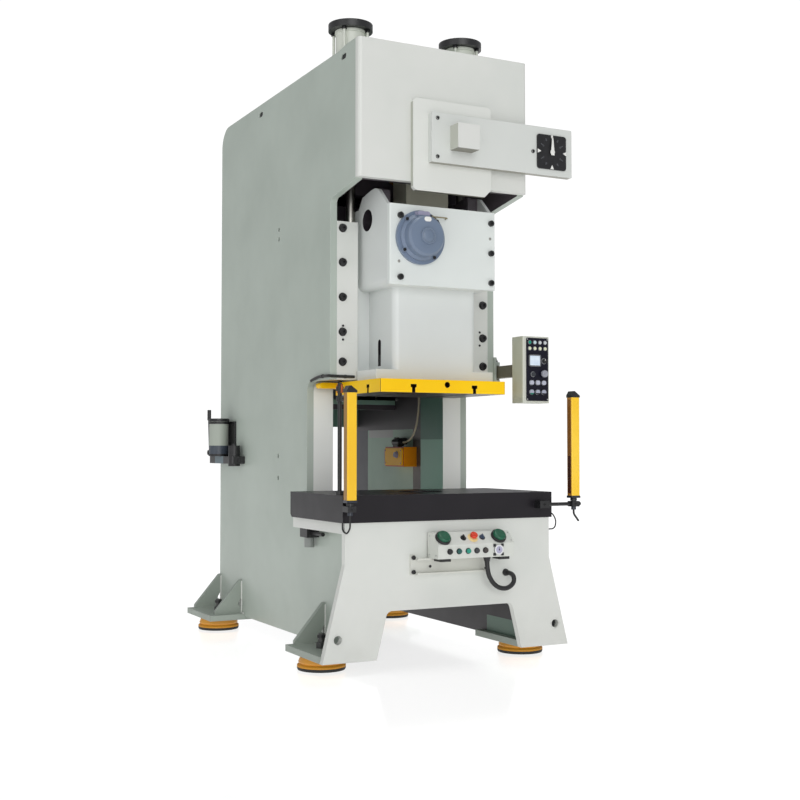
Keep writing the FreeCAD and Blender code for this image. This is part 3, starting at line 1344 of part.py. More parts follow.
PARTS = {
    "side_plate_right": side_plate,
    "side_plate_left": lambda: mirrored(side_plate()),
    "crown_front_plate": crown_front_plate,
    "cross_walls": cross_walls,
    "rear_plate": rear_plate,
    "throat_columns": throat_columns,
    "bed_plate": bed_plate,
    "base_front_plate": base_front_plate,
    "foot_brackets": foot_brackets,
    "levelling_pads": lambda: at_pads(pad_rubber),
    "pad_caps": lambda: group([at_pads(pad_cap), at_pads(levelling_bolt)]),
    "bolster": bolster,
    "guide_rails": guide_rails,
    "gib_strips": gib_strips,
    "gib_bolts": gib_bolts,
    "shaft_bushes": lambda: group(crank_bushes() + pinion_bushes()),
    "balance_cylinders": balance_cylinders,
    "motor": motor,
    "flywheel_belts": flywheel_belts,
    "rear_guard": rear_guard,
    "indicator_base": indicator_base,
    "indicator_arm": indicator_arm,
    "dial_face": dial_face,
    "dial_needle": dial_needle,
    "light_curtains": lambda: group(light_curtains() + curtain_ends()),
    "curtain_brackets": curtain_brackets,
    "control_box": lambda: join([control_box()] + control_fittings()),
    "control_bracket": control_bracket,
    "control_hose": control_hose,
    "frame_cables": lambda: group(light_curtain_cables() + [valve_cable()]),
    "palm_button_left": lambda: palm_button(palm_xs[0]),
    "palm_button_right": lambda: palm_button(palm_xs[1]),
    "emergency_stop": emergency_stop,
    "selector_left": lambda: selector(14.0),
    "selector_right": lambda: selector(106.0),
    "grease_pump": grease_pump,
    "pump_lever": pump_lever,
    "throat_valve_box": throat_valve_box,
    "air_regulator": air_regulator,
    "pendant_bracket": pendant_bracket,
    "pendant_arm": pendant_arm,
    "pendant_box": pendant_box,
    "pendant_panel": lambda: join([pendant_panel()] + pendant_fittings()),
    "pendant_knob": pendant_knob,
    "pendant_stop": pendant_stop,
    "crankshaft": crankshaft,
    "main_gear": main_gear,
    "connecting_rod": lambda: group([connecting_rod(), rod_cap()]),
    "adjusting_screw": adjusting_screw,
    "slide": slide,
    "slide_cover": slide_cover,
    "slide_plate": slide_plate,
    "overload_piston": overload_piston,
    "adjusting_motor": lambda: group([adjusting_motor(), motor_conduit()]),
    "balance_rods": balance_rods,
    "knockout_bar": knockout_bar,
    "pinion_shaft": pinion_shaft,
    "clutch_brake": clutch_brake,
    "flywheel": flywheel,
    "motor_pulley": motor_pulley,
}

os.makedirs("parts", exist_ok=True)
for name, make in PARTS.items():
    shape = make()
    shape.exportStep("parts/" + name + ".step")
    print(name, "solids", len(shape.Solids), "valid", shape.isValid(), "litres", round(shape.Volume / 1e6, 3))
print("nodes", len(PARTS))
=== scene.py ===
"""Looks of a gap-frame stamping press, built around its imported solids.

Lengths are written in millimetres in the press's own frame: the middle of the bolster's top
face is the origin, +X the operator's right, +Y the back, +Z up.
"""

import math
from itertools import product

import bmesh
import bpy
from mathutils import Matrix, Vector


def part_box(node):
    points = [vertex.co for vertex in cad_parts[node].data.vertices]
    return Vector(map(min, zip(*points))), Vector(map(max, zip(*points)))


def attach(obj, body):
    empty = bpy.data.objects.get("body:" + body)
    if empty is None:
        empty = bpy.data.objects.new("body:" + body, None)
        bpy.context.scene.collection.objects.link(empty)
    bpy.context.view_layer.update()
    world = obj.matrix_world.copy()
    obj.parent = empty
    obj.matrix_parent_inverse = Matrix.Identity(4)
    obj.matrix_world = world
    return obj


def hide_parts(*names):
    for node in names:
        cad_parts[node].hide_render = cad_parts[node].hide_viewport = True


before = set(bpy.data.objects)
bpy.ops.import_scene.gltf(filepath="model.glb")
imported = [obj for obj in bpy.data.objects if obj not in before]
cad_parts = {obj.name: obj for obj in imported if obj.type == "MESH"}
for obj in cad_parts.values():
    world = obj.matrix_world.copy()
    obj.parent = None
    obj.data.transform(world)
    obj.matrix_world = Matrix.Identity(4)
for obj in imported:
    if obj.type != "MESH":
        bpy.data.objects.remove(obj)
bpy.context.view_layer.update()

MM = 0.001
LEFT, RIGHT = (-1, 0, 0), (1, 0, 0)
FRONT, REAR = (0, -1, 0), (0, 1, 0)
DOWN, UP = (0, 0, -1), (0, 0, 1)


def face(node, axis, end):
    """Where a solid ends along an axis, in millimetres: end 0 is its low end and 1 its high end."""
    return round(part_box(node)[end]["XYZ".index(axis)] / MM, 1)


FLOOR_Z = face("levelling_pads", "Z", 0)
SIDE_OUT = face("side_plate_right", "X", 1)          # outer faces of the side plates
SIDE_IN = face("side_plate_right", "X", 0)           # their inner faces
BACK_Y = face("side_plate_right", "Y", 1)            # their back edges
BASE_Y = face("base_front_plate", "Y", 0)            # front of the base
GIB_Y = face("gib_strips", "Y", 0)                   # front of the gib strips
ARM_Y = face("dial_face", "Y", 1)                    # front of the dial's arm
MOTOR_Y = face("adjusting_motor", "Y", 0)            # front of the height-adjusting motor
FLYWHEEL_Z = (face("flywheel", "Z", 0) + face("flywheel", "Z", 1)) / 2
PULLEY_Z = (face("motor_pulley", "Z", 0) + face("motor_pulley", "Z", 1)) / 2


# ---- materials
CLOUDS_MM = 420.0            # drift of a sprayed coat's colour over a plate
INNER_CLOUDS_MM = 260.0      # the same on the plates' inner faces
OIL_MM = 60.0                # oily patches on bare metal
BLUSH_MM = 18.0              # colour drift of a moulding
DUST_MM = 1000 / 9           # dust patches
GLOSS_MM = 1000 / 14         # duller and glossier patches of a coat
DUST_TOP, DUST_FULL = 420, 60        # heights over the floor where dust begins, and where it is thickest
# EDGE_HIGHLIGHT is a painted highlight laid along the plates' edges.
DUST, EDGE_HIGHLIGHT = "#8D8B82", "#E6E8E4"


def linear(code):
    """An sRGB hex value as linear colour."""
    channels = [int(code[i:i + 2], 16) / 255 for i in (1, 3, 5)]
    return tuple(c / 12.92 if c <= 0.04045 else ((c + 0.055) / 1.055) ** 2.4 for c in channels) + (1.0,)


def add(tree, kind, settings=None, links=None):
    """Add one node, set its sockets or properties, and link sources into its sockets."""
    node = tree.nodes.new(kind)
    for key, value in (settings or {}).items():
        if isinstance(key, int) or key in node.inputs:
            node.inputs[key].default_value = value
        else:
            setattr(node, key, value)
    for socket, source in (links or {}).items():
        tree.links.new(source, node.inputs[socket])
    return node


def start_material(name, settings):
    """A new material with its shader, and the solid's own coordinates in metres."""
    material = bpy.data.materials.new(name)
    material.use_nodes = True
    tree = material.node_tree
    tree.nodes.clear()
    shader = add(tree, "ShaderNodeBsdfPrincipled", settings)
    add(tree, "ShaderNodeOutputMaterial", None, {"Surface": shader.outputs["BSDF"]})
    place = add(tree, "ShaderNodeTexCoord").outputs["Object"]
    return material, tree, shader, place


def mottled(tree, place, size_mm, colours, detail=3.0):
    """Colour that drifts between the hex values of one string, in patches of about size_mm."""
    clouds = add(tree, "ShaderNodeTexNoise", {"Scale": 1 / (size_mm * MM), "Detail": detail},
                 {"Vector": place})
    ramp = add(tree, "ShaderNodeValToRGB", None, {"Fac": clouds.outputs["Fac"]})
    first, last = 0.3, 0.7
    codes = colours.split()
    stops = ramp.color_ramp.elements
    stops[0].position, stops[1].position = first, last
    stops[0].color, stops[1].color = linear(codes[0]), linear(codes[-1])
    for index, code in enumerate(codes[1:-1], 1):
        stop = stops.new(first + (last - first) * index / (len(codes) - 1))
        stop.color = linear(code)
    return ramp.outputs["Color"]


def within(tree, axes, spans):
    """1 inside the given spans of X, Y and Z in millimetres and 0 outside; None leaves an axis free."""
    inside = None
    for axis, span in zip("XYZ", spans):
        if span is None:
            continue
        middle, reach = (span[0] + span[1]) / 2 * MM, (span[1] - span[0]) / 2 * MM
        near = add(tree, "ShaderNodeMath", {"operation": "COMPARE", 1: middle, 2: reach},
                   {0: axes.outputs[axis]}).outputs[0]
        if inside is None:
            inside = near
        else:
            inside = add(tree, "ShaderNodeMath", {"operation": "MULTIPLY"}, {0: inside, 1: near}).outputs[0]
    return inside


def overlaid(tree, colour, layers):
    """Colour with hex values laid over it in turn, each as far as its own mask says."""
    for code, mask in layers:
        mixed = add(tree, "ShaderNodeMix", {"data_type": "RGBA", 7: linear(code)}, {0: mask, 6: colour})
        colour = mixed.outputs[2]
    return colour


def uneven_gloss(tree, shader, pattern, smoothest, roughest):
    """Roughness that follows a pattern between two values."""
    spread = add(tree, "ShaderNodeMapRange", {"To Min": smoothest, "To Max": roughest}, {"Value": pattern})
    tree.links.new(spread.outputs["Result"], shader.inputs["Roughness"])


def fine_relief(tree, shader, pattern, strength, depth_mm, soft_edge=None):
    """Unevenness that follows a pattern, over softened edges where they are given."""
    relief = add(tree, "ShaderNodeBump", {"Strength": strength, "Distance": depth_mm * MM},
                 {"Height": pattern})
    if soft_edge:
        tree.links.new(soft_edge.outputs["Normal"], relief.inputs["Normal"])
    tree.links.new(relief.outputs["Normal"], shader.inputs["Normal"])


def coat_of_paint(name, colours, roughness, peel_mm, peel_depth, edge_mm=1.2, inside=None, patches=(),
                  gloss=None):
    """Sprayed machine enamel: faint orange peel, drifting gloss, paler edges as a painted highlight and dust
    low down.

    inside: (span of X, colours) for the faces between the side plates.
    patches: list of (hex, spans of X, Y and Z in mm) laid over the coat.
    gloss: shader settings that differ from a fresh coat's.
    """
    material, tree, shader, place = start_material(
        name, {"IOR": 1.5, "Coat Weight": 0.12, "Coat Roughness": 0.25, **(gloss or {})})
    colour = mottled(tree, place, CLOUDS_MM, colours)
    axes = add(tree, "ShaderNodeSeparateXYZ", None, {"Vector": place})
    if inside:
        near = within(tree, axes, (inside[0], None, None))
        inner_colour = mottled(tree, place, INNER_CLOUDS_MM, inside[1])
        colour = add(tree, "ShaderNodeMix", {"data_type": "RGBA"},
                     {0: near, 6: colour, 7: inner_colour}).outputs[2]

    soft_edge = add(tree, "ShaderNodeBevel", {"samples": 4, "Radius": edge_mm * MM})
    flat = add(tree, "ShaderNodeNewGeometry").outputs["Normal"]
    turned_away = add(tree, "ShaderNodeVectorMath", {"operation": "DOT_PRODUCT"},
                      {0: soft_edge.outputs["Normal"], 1: flat})
    # painted highlight where the softened edge turns away from the flat face
    edge_highlight = add(tree, "ShaderNodeMapRange",
                 {"From Min": 0.995, "From Max": 0.8, "To Min": 0.0, "To Max": 0.35},
                 {"Value": turned_away.outputs["Value"]})

    dust_height = add(tree, "ShaderNodeMapRange",
                      {"From Min": (FLOOR_Z + DUST_FULL) * MM, "From Max": (FLOOR_Z + DUST_TOP) * MM,
                       "To Min": 0.3, "To Max": 0.0}, {"Value": axes.outputs["Z"]})
    dust_patch = add(tree, "ShaderNodeTexNoise", {"Scale": 1 / (DUST_MM * MM), "Detail": 5.0},
                     {"Vector": place})
    dust = add(tree, "ShaderNodeMath", {"operation": "MULTIPLY"},
               {0: dust_height.outputs[0], 1: dust_patch.outputs["Fac"]})
    layers = [(EDGE_HIGHLIGHT, edge_highlight.outputs[0]), (DUST, dust.outputs[0])]
    layers += [(code, within(tree, axes, spans)) for code, *spans in patches]
    tree.links.new(overlaid(tree, colour, layers), shader.inputs["Base Color"])

    drift = add(tree, "ShaderNodeTexNoise", {"Scale": 1 / (GLOSS_MM * MM), "Detail": 4.0}, {"Vector": place})
    uneven_gloss(tree, shader, drift.outputs["Fac"], roughness - 0.06, roughness + 0.08)
    peel = add(tree, "ShaderNodeTexNoise", {"Scale": 1 / (peel_mm * MM), "Detail": 2.0}, {"Vector": place})
    fine_relief(tree, shader, peel.outputs["Fac"], 0.5, peel_depth, soft_edge)
    return material


def bare_metal(name, colours, roughness, grain_mm, stretch, depth):
    """Cut or ground metal: fine lay marks stretched along one direction, oil-dark patches."""
    material, tree, shader, place = start_material(name, {"Metallic": 1.0})
    tree.links.new(mottled(tree, place, OIL_MM, colours, 5.0), shader.inputs["Base Color"])
    lay = add(tree, "ShaderNodeMapping", {"Scale": stretch}, {"Vector": place})
    grain = add(tree, "ShaderNodeTexNoise", {"Scale": 1 / (grain_mm * MM), "Detail": 6.0},
                {"Vector": lay.outputs[0]})
    uneven_gloss(tree, shader, grain.outputs["Fac"], roughness - 0.1, roughness + 0.12)
    soft_edge = add(tree, "ShaderNodeBevel", {"samples": 4, "Radius": 0.8 * MM})
    fine_relief(tree, shader, grain.outputs["Fac"], 0.35, depth, soft_edge)
    return material


def moulded(name, colours, roughness, grain_mm=0.8, depth=0.05, settings=None, patches=()):
    """Moulded plastic or rubber: even colour, fine spark-eroded grain, patches of other mouldings."""
    material, tree, shader, place = start_material(name, {"IOR": 1.5, **(settings or {})})
    axes = add(tree, "ShaderNodeSeparateXYZ", None, {"Vector": place})
    layers = [(code, within(tree, axes, spans)) for code, *spans in patches]
    colour = overlaid(tree, mottled(tree, place, BLUSH_MM, colours), layers)
    tree.links.new(colour, shader.inputs["Base Color"])
    grain = add(tree, "ShaderNodeTexNoise", {"Scale": 1 / (grain_mm * MM), "Detail": 3.0}, {"Vector": place})
    uneven_gloss(tree, shader, grain.outputs["Fac"], roughness - 0.05, roughness + 0.07)
    fine_relief(tree, shader, grain.outputs["Fac"], 0.4, depth)
    return material


# Two-part machine enamel, sprayed: grey-green on the side plates, paler grey-green inside the throat.
# Above the sheet that closes the throat's lower half, in the crown and under the bolster the inside
# is painted dark as painted shade, and the sheet's upper band is a painted highlight.
INSIDE = (-SIDE_IN - 0.4, SIDE_IN + 0.4)
BASE_INSIDE = (-243, 70)      # depth of the base's front part
side_enamel = coat_of_paint(
    "grey_green_enamel", "#A9B3AA #AFB9B0 #B4BEB5", 0.42, 3.0, 0.12, 3.0,
    inside=(INSIDE, "#92AD9C #9AB4A3 #A2BBAB"), patches=[
        # painted shade in the crown and in the throat over the sheet
        ("#5C545A", INSIDE, None, (1262, 1900)),                # crown
        ("#423B40", INSIDE, (535, 1490), (289, 492)),           # throat over the sheet
        # painted highlight on the sheet's upper band
        ("#A9AAA8", INSIDE, (1024, 1317), (248, 289)),          # the sheet's lit upper band
        ("#6F9384", INSIDE, (1000, 1434), (405, 423)),          # ledge under the cross beam
        # painted shade beside the back opening, behind the columns and inside the base
        ("#34343E", INSIDE, (1330, 1490), (-112, 289)),         # beside the opening to the back
        ("#574E4A", INSIDE, (535, 797), (-60, 289)),            # behind the columns
        ("#2A262A", INSIDE, (70, 1490), (-700, -160)),          # base
        ("#2A262A", INSIDE, BASE_INSIDE, (-575, -160)),
        ("#5E7669", INSIDE, BASE_INSIDE, (-700, -575))])
# The same coat on the feet, rougher, in darker colours that are painted shade.
shaded_foot_enamel = coat_of_paint("shaded_foot_enamel", "#8E988F #959F96 #9BA59C", 0.5, 3.0, 0.12, 3.0)
# The plates between the side plates: dark inside as painted shade, grey-green on the crown's top and the
# base's back, with a teal-green lintel at the back of the throat.
shaded_inner_enamel = coat_of_paint("shade_dark_inner_enamel", "#484248 #4E484E #554E55", 0.48, 3.0, 0.12, patches=[
    ("#AFB9B0", None, None, (1906, 1910)),
    ("#AFB9B0", None, (1489, 1491), (-700, -112)),
    ("#8FB3A2", None, (999, 1001), (420, 447))])
# The back of the press: the teal-green coat.
rear_enamel = coat_of_paint("teal_green_enamel", "#5F8576 #688E7F #709687", 0.48, 3.0, 0.12, 3.0)
# Off-white front coat, satin: almost no texture, paler where the edges catch the light.
front_enamel = coat_of_paint("off_white_enamel", "#D2D5D0 #D8DAD5 #DCDDD9", 0.38, 3.0, 0.10, 3.0)
# The indicator's pad, arm and encoder case in the same coat; their undersides and left sides are darker as
# painted shade.
indicator_enamel = coat_of_paint(
    "indicator_enamel", "#CFD2CE #D3D6D2 #D6D9D5", 0.38, 3.0, 0.10, 3.0, patches=[
        ("#D9DAD6", None, (-360, -284.4), None),
        ("#DDDFDA", None, (-252.4, -229), None),
        # painted shade: darker undersides and left sides
        ("#77756A", None, (-351, -284.2), (1465, 1467.2)),
        ("#8D8B80", None, (-283, -253), (1408, 1410.2)),
        ("#6F6E64", None, (-251, -229), (1287, 1289.2)),
        ("#B5B8AD", (-171.6, -170.4), (-251, -229), None),
        ("#BFC1B6", (-8.6, -7.4), (-351, -284.2), None)])
# The throat's columns: off-white in front, the machine's teal-green coat on their other faces, darker from
# 235 mm up as painted shade under the head.
COLUMN_REAR = (310.5, 600)
column_enamel = coat_of_paint("column_enamel", "#E6E9E4 #EAECE8 #EDEFEB", 0.38, 3.0, 0.10, 3.0, patches=[
    ("#7FA795", None, COLUMN_REAR, None),
    # painted shade on the columns' upper inner faces
    ("#4F7265", None, COLUMN_REAR, (235, 492))])
# Light grey coat over the slide's filled and rubbed-down casting; its pocket and windows are painted dark as
# painted shade.
slide_enamel = coat_of_paint("light_grey_enamel", "#D2D6D4 #D6DAD8 #DADEDC", 0.36, 4.0, 0.12, 2.5, patches=[
    # painted shade in the pocket, side hole and knock-out slot
    ("#544E54", (-244.8, 244.8), (-184.8, 300), (1199.5, 1400)),
    ("#2B272C", (-260.8, 260.8), (-42, 56), (1141, 1241)),
    ("#232024", (-204.8, 204.8), (-14.5, 14.5), (540, 680))])
# The slide's cover: the same coat, with blackened bolt heads.
BLACKED = "#17181A"
cover_enamel = coat_of_paint("cover_enamel", "#DADFDC #DEE3E0 #E2E7E4", 0.36, 4.0, 0.12, 2.5, patches=[
    (BLACKED, None, (-240, -210.2), None)])
# Grey-green coat of the cylinders; their end caps are blacked.
cylinder_enamel = coat_of_paint("cylinder_enamel", "#D2D6CB #D8DCD1 #DDE0D6", 0.4, 2.5, 0.1, patches=[
    (BLACKED, None, None, (2061.9, 2200))])
# Beige primer left on the connecting rod.
rod_enamel = coat_of_paint("beige_rod_enamel", "#A9A896 #B5B4A3 #BDBCAC", 0.45, 2.5, 0.1)
# Hammered blue-grey finish of the geared motor, with its black gland and a yellowish conduit.
motor_enamel = coat_of_paint(
    "blue_grey_hammered_enamel", "#67768A #707F96 #7B889E", 0.34, 5.0, 0.35, patches=[
        ("#9896AE", (-148, -90), (-255, -212), (1183, 1202)),
        ("#8C8468", (-74, 20), (-245, -209), (1176, 1192)),
        ("#141416", (-97.9, -74), (-245, -225), (1176, 1192))])
# Bright yellow gloss enamel of moving and safety parts.
SAFETY_YELLOW = "#FAC600 #FFCE00 #FFD400"
GLOSS_COAT = {"Coat Weight": 0.0, "IOR": 1.38}
yellow_enamel = coat_of_paint("signal_yellow_enamel", SAFETY_YELLOW, 0.34, 2.5, 0.08, gloss=GLOSS_COAT)
# The tool plate in the same yellow: its oily underside is dark, and its sawn slots and front hole are painted
# near-black, partly bare metal, partly painted shade.
plate_enamel = coat_of_paint("tool_plate_enamel", SAFETY_YELLOW, 0.34, 2.5, 0.08, gloss=GLOSS_COAT, patches=[
    # slots and hole: partly bare metal, partly painted shade
    ("#2A1F16", (-307.5, 307.5), (-216, 237), (428, 485.6)),
    ("#231C22", None, None, (428, 429.2))])
# Orange-yellow coat of the air valve: reddish joint lines, grey-violet button, black cable gland.
valve_enamel = coat_of_paint(
    "valve_orange_enamel", "#FFB60A #FFBE12 #FFC51C", 0.35, 2.0, 0.08, gloss=GLOSS_COAT, patches=[
        ("#FF9D12", None, (750, 757.6), None),
        ("#C4603A", (300.1, 308.5), (950, 970), None),
        ("#C4603A", (308.1, 309.5), None, None),
        ("#8A8698", (280, 299.9), None, None),
        ("#141416", None, None, (198.2, 250))])
# Yellow cap under the foot plate, with a blackened levelling bolt above it.
pad_enamel = coat_of_paint("pad_yellow_enamel", "#D98E1A #E9A01C #F0AE2A", 0.42, 2.5, 0.1, patches=[
    ("#3A3B3A", None, None, (-675.5, -500))])
# Yellow extruded housing of the light curtains, with black moulded ends and glands; its sides are painted
# darker orange-brown as painted shade.
curtain_coat = coat_of_paint(
    "curtain_yellow_coat", "#F3BD1A #FAC823 #FFD23A", 0.32, 1.5, 0.05, 1.0, patches=[
        # painted shade on the housings' sides
        ("#9A6E1E", (-520, -512.6), None, None),
        ("#B87E2A", (575, 582.4), None, None),
        ("#9A6E1E", (625.6, 640), None, None),
        ("#141416", None, None, (417.8, 600)),
        ("#18202E", None, None, (-200, -17.8))])
# Olive-grey powder coat of the pendant's case, paler on its front frame; its arm is darker.
pendant_enamel = coat_of_paint("olive_grey_powder_coat", "#B6B9A7 #BCBFAE #C1C4B3", 0.4, 2.0, 0.08, patches=[
    ("#C9CBC0", None, (-252, -249), None)])
arm_enamel = coat_of_paint("dark_olive_enamel", "#635F52 #6E6A5C #757163", 0.45, 2.0, 0.08)
# Off-white sheet box: switches, lamps and the counter's frame on its front are moulded in other colours.
LAMPS = {-64: "#101114", -20: "#12504C", 24: "#1F8F7A", 66: "#34363A", 108: "#3A3431"}   # middle: lens colour
COUNTER = (146, 198)          # the counter's case across the box
control_enamel = coat_of_paint("control_box_enamel", "#D0D3CC #D6D8D2 #DADBD6", 0.4, 2.0, 0.08, patches=[
    *[(code, (x - 12, x + 12), (-384, -373.2), (-248, -224)) for x, code in LAMPS.items()],
    ("#131417", COUNTER, (-377.2, -373.2), (-262, -210)),
    ("#E4E5E6", COUNTER, (-384, -377.2), (-262, -210))])
# The channel under the box: off-white, with black rubber buffers and black bolts.
bracket_enamel = coat_of_paint("bracket_enamel", "#CFD0C8 #D4D5CE #D8D9D3", 0.42, 2.0, 0.08, patches=[
    ("#131313", None, (-370, -307.6), (-278.5, -265.9)),
    ("#1B1B1D", (-199, -181), (-292, -283.2), None)])
# Oiled, darkened steel of the bolster: nearly black with a soft sheen.
bolster_steel = coat_of_paint("oiled_dark_steel", "#161318 #1A171C #1F1C21", 0.34, 6.0, 0.06, 0.6,
                              gloss={"IOR": 1.35, "Coat Weight": 0.0})
# Ground and turned steel of shafts, gears and rods.
turned_steel = bare_metal("turned_steel", "#8E8D88 #A3A29C #B0AFA9", 0.32, 1.2, (1, 6, 1), 0.04)
# Bright zinc plating on small screws and nuts.
zinc_plate = bare_metal("zinc_plated_steel", "#B4B6B4 #C0C2C0 #CACCCA", 0.3, 1.0, (1, 1, 1), 0.02)
# Sand-cast grey iron, machined only where it runs.
grey_iron = coat_of_paint("grey_cast_iron", "#5A5B5A #656665 #707170", 0.6, 1.6, 0.5)
# Ground slideway iron of the guide rails.
slideway_iron = bare_metal("ground_slideway_iron", "#777774 #868682 #93938E", 0.3, 1.5, (1, 1, 8), 0.03)
# Machined tin bronze bushes.
bush_bronze = bare_metal("tin_bronze", "#9C7436 #AE8442 #BD9350", 0.34, 1.0, (1, 5, 1), 0.04)
# Punched copper cable lug.
copper_terminal = bare_metal("copper_terminal", "#8A4A28 #9C5630 #AE643A", 0.35, 1.0, (1, 1, 1), 0.02)
# Black-oxide screws and brackets.
NEAR_BLACK = "#121214 #18181A #1F1F21"
black_oxide = moulded("black_oxide_steel", NEAR_BLACK, 0.38, 0.7, 0.03)
# Lubrication pump: black cap and barrel, clouded clear reservoir with dark oil in it, blue-grey foot.
BOWL = (-540, -430), (1280, 1390)
pump_mouldings = moulded("lubricator_mouldings", NEAR_BLACK, 0.4, 0.8, 0.04, patches=[
    ("#A3AAA0", *BOWL, (205, 329.8)),
    ("#3C444F", *BOWL, (150.2, 205)),
    ("#5A6C74", (-540, -430), (1270, 1400), (90, 150))])
# Filter regulator: black body and a smoky clear bowl.
SOOT = "#141416 #1A1A1C #202022"
regulator_mouldings = moulded("regulator_mouldings", SOOT, 0.4, 0.8, 0.04, patches=[
    ("#8B8F8C", None, None, (-250, -200.3))])
# Black ABS covers.
black_abs = moulded("black_abs", SOOT, 0.5)
# Black dial disc with grey moulded hour marks.
dial_abs = moulded("dial_abs", "#121214 #17171A #1C1C1F", 0.35, patches=[
    ("#4A4C50", None, (-292.5, -290.3), None)])
# Pendant panel: black film with a screen window, lamps, white keys and one green key.
KEYS = (-262, -253.2)         # from the keys' tops to just over the film
LAMP_ROW = (652, 672)
KEY_ROW = (408, 500)
panel_film = moulded("panel_film", "#0C0C1A #0F0F1E #121223", 0.38, settings={"IOR": 1.3}, patches=[
    ("#1F8F7A", (402, 422), KEYS, LAMP_ROW),
    ("#BFD6DC", (429, 449), KEYS, LAMP_ROW),
    ("#C9CDD0", (456, 503), KEYS, LAMP_ROW),
    ("#D9DCC0", (402, 503), KEYS, (625, 645)),
    ("#23232C", KEY_ROW, KEYS, (427, 497)),
    ("#B7BAC8", KEY_ROW, KEYS, (474, 492)),
    ("#A6AABB", KEY_ROW, KEYS, (437, 451)),
    ("#1F6F5F", (408, 434), KEYS, (427, 437)),
    ("#3A3D42", (418, 442), (-263, -253.2), (508, 532))])
# Moulded black rubber.
RUBBER_BLACK = "#0F0F0F #161616 #1C1B1B"
black_rubber = moulded("black_rubber", RUBBER_BLACK, 0.72, 1.5, 0.12, {"Sheen Weight": 0.15})
# The pads' rubber: black underneath, its rim dipped in the cap's yellow.
pad_rubber = moulded("pad_rubber", RUBBER_BLACK, 0.6, 1.5, 0.12, patches=[
    ("#C98A1A", None, None, (-722, -700))])
# Extruded sheathing: black, and cream where the valve's lead hangs in the throat.
cable_sheath = moulded("cable_sheath", "#101011 #151516 #1A1A1B", 0.45, 1.2, 0.05, patches=[
    ("#D6CBB0", (300, 400), (600, 900), None)])
# Glossy moulded buttons and rings, and the flat inks of the dials.
grey_button = moulded("grey_button_plastic", "#8C8E98 #9698A2 #A0A2AB", 0.35)
green_button = moulded("green_button_plastic", "#0A4A33 #0C553B #0F6044", 0.28)
red_button = moulded("red_button_plastic", "#C62D14 #D83A1A #E2461F", 0.28)
white_button = moulded("white_button_plastic", "#DEDEDA #E6E6E2 #ECECE8", 0.3)
cream_ring = moulded("cream_ring_plastic", "#EBD08A #F2D998 #F7E1A8", 0.35)
blue_grey_plastic = moulded("blue_grey_plastic", "#3D4A5C #46546A #4F5E74", 0.35)
spot_print = moulded("dark_grey_print", "#3A3C3F #404245 #46484C", 0.4)
violet_grey_print = moulded("violet_grey_print", "#A6A4BC #B0AEC6 #B8B6CE", 0.4)
grey_print = moulded("grey_print", "#77797C #808285 #898B8E", 0.4)
# Lit window of the pendant's screen, faintly bluish.
screen_glass = moulded("screen_glass", "#C3D2E2 #CEDBE8 #D9E4EE", 0.12, 0.8, 0.01,
                       {"Emission Color": linear("#CEDBE8"), "Emission Strength": 0.15})
# Brown filter window of the light curtains; its upper part is painted lighter as a painted reflection of the
# yellow housing.
lens_glass = moulded("smoked_filter", "#3A1A0E #452012 #4E2616", 0.2, 0.8, 0.01, patches=[
    ("#8A5A24", None, None, (158, 420))])

CAD_FINISHES = {              # each finish with the solids that wear it
    side_enamel: "side_plate_right side_plate_left pendant_bracket",
    shaded_foot_enamel: "foot_brackets",
    shaded_inner_enamel: "cross_walls",
    rear_enamel: "rear_plate",
    front_enamel: "crown_front_plate bed_plate base_front_plate gib_strips",
    indicator_enamel: "indicator_base indicator_arm",
    column_enamel: "throat_columns",
    control_enamel: "control_box",
    bracket_enamel: "control_bracket",
    slide_enamel: "slide",
    cover_enamel: "slide_cover",
    cylinder_enamel: "balance_cylinders",
    rod_enamel: "connecting_rod",
    motor_enamel: "adjusting_motor motor",
    yellow_enamel: "rear_guard",
    plate_enamel: "slide_plate",
    valve_enamel: "throat_valve_box",
    pad_enamel: "pad_caps",
    curtain_coat: "light_curtains",
    pendant_enamel: "pendant_box",
    arm_enamel: "pendant_arm",
    bolster_steel: "bolster",
    turned_steel: "crankshaft main_gear adjusting_screw overload_piston balance_rods pinion_shaft",
    grey_iron: "clutch_brake flywheel motor_pulley",
    slideway_iron: "guide_rails",
    bush_bronze: "shaft_bushes",
    black_oxide: "gib_bolts curtain_brackets pump_lever knockout_bar",
    pump_mouldings: "grease_pump",
    regulator_mouldings: "air_regulator",
    dial_abs: "dial_face",
    panel_film: "pendant_panel",
    black_abs: "pendant_knob selector_left",
    blue_grey_plastic: "selector_right",
    pad_rubber: "levelling_pads",
    black_rubber: "flywheel_belts",
    cable_sheath: "control_hose frame_cables",
    green_button: "palm_button_left palm_button_right",
    red_button: "emergency_stop",
    white_button: "dial_needle",
    grey_button: "pendant_stop",
}
for finish, names in CAD_FINISHES.items():
    for name in names.split():
        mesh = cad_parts[name].data
        mesh.materials.clear()
        mesh.materials.append(finish)


# ---- mesh shapes
def placed(name, data):
    """A new object in the scene."""
    thing = bpy.data.objects.new(name, data)
    bpy.context.scene.collection.objects.link(thing)
    return thing


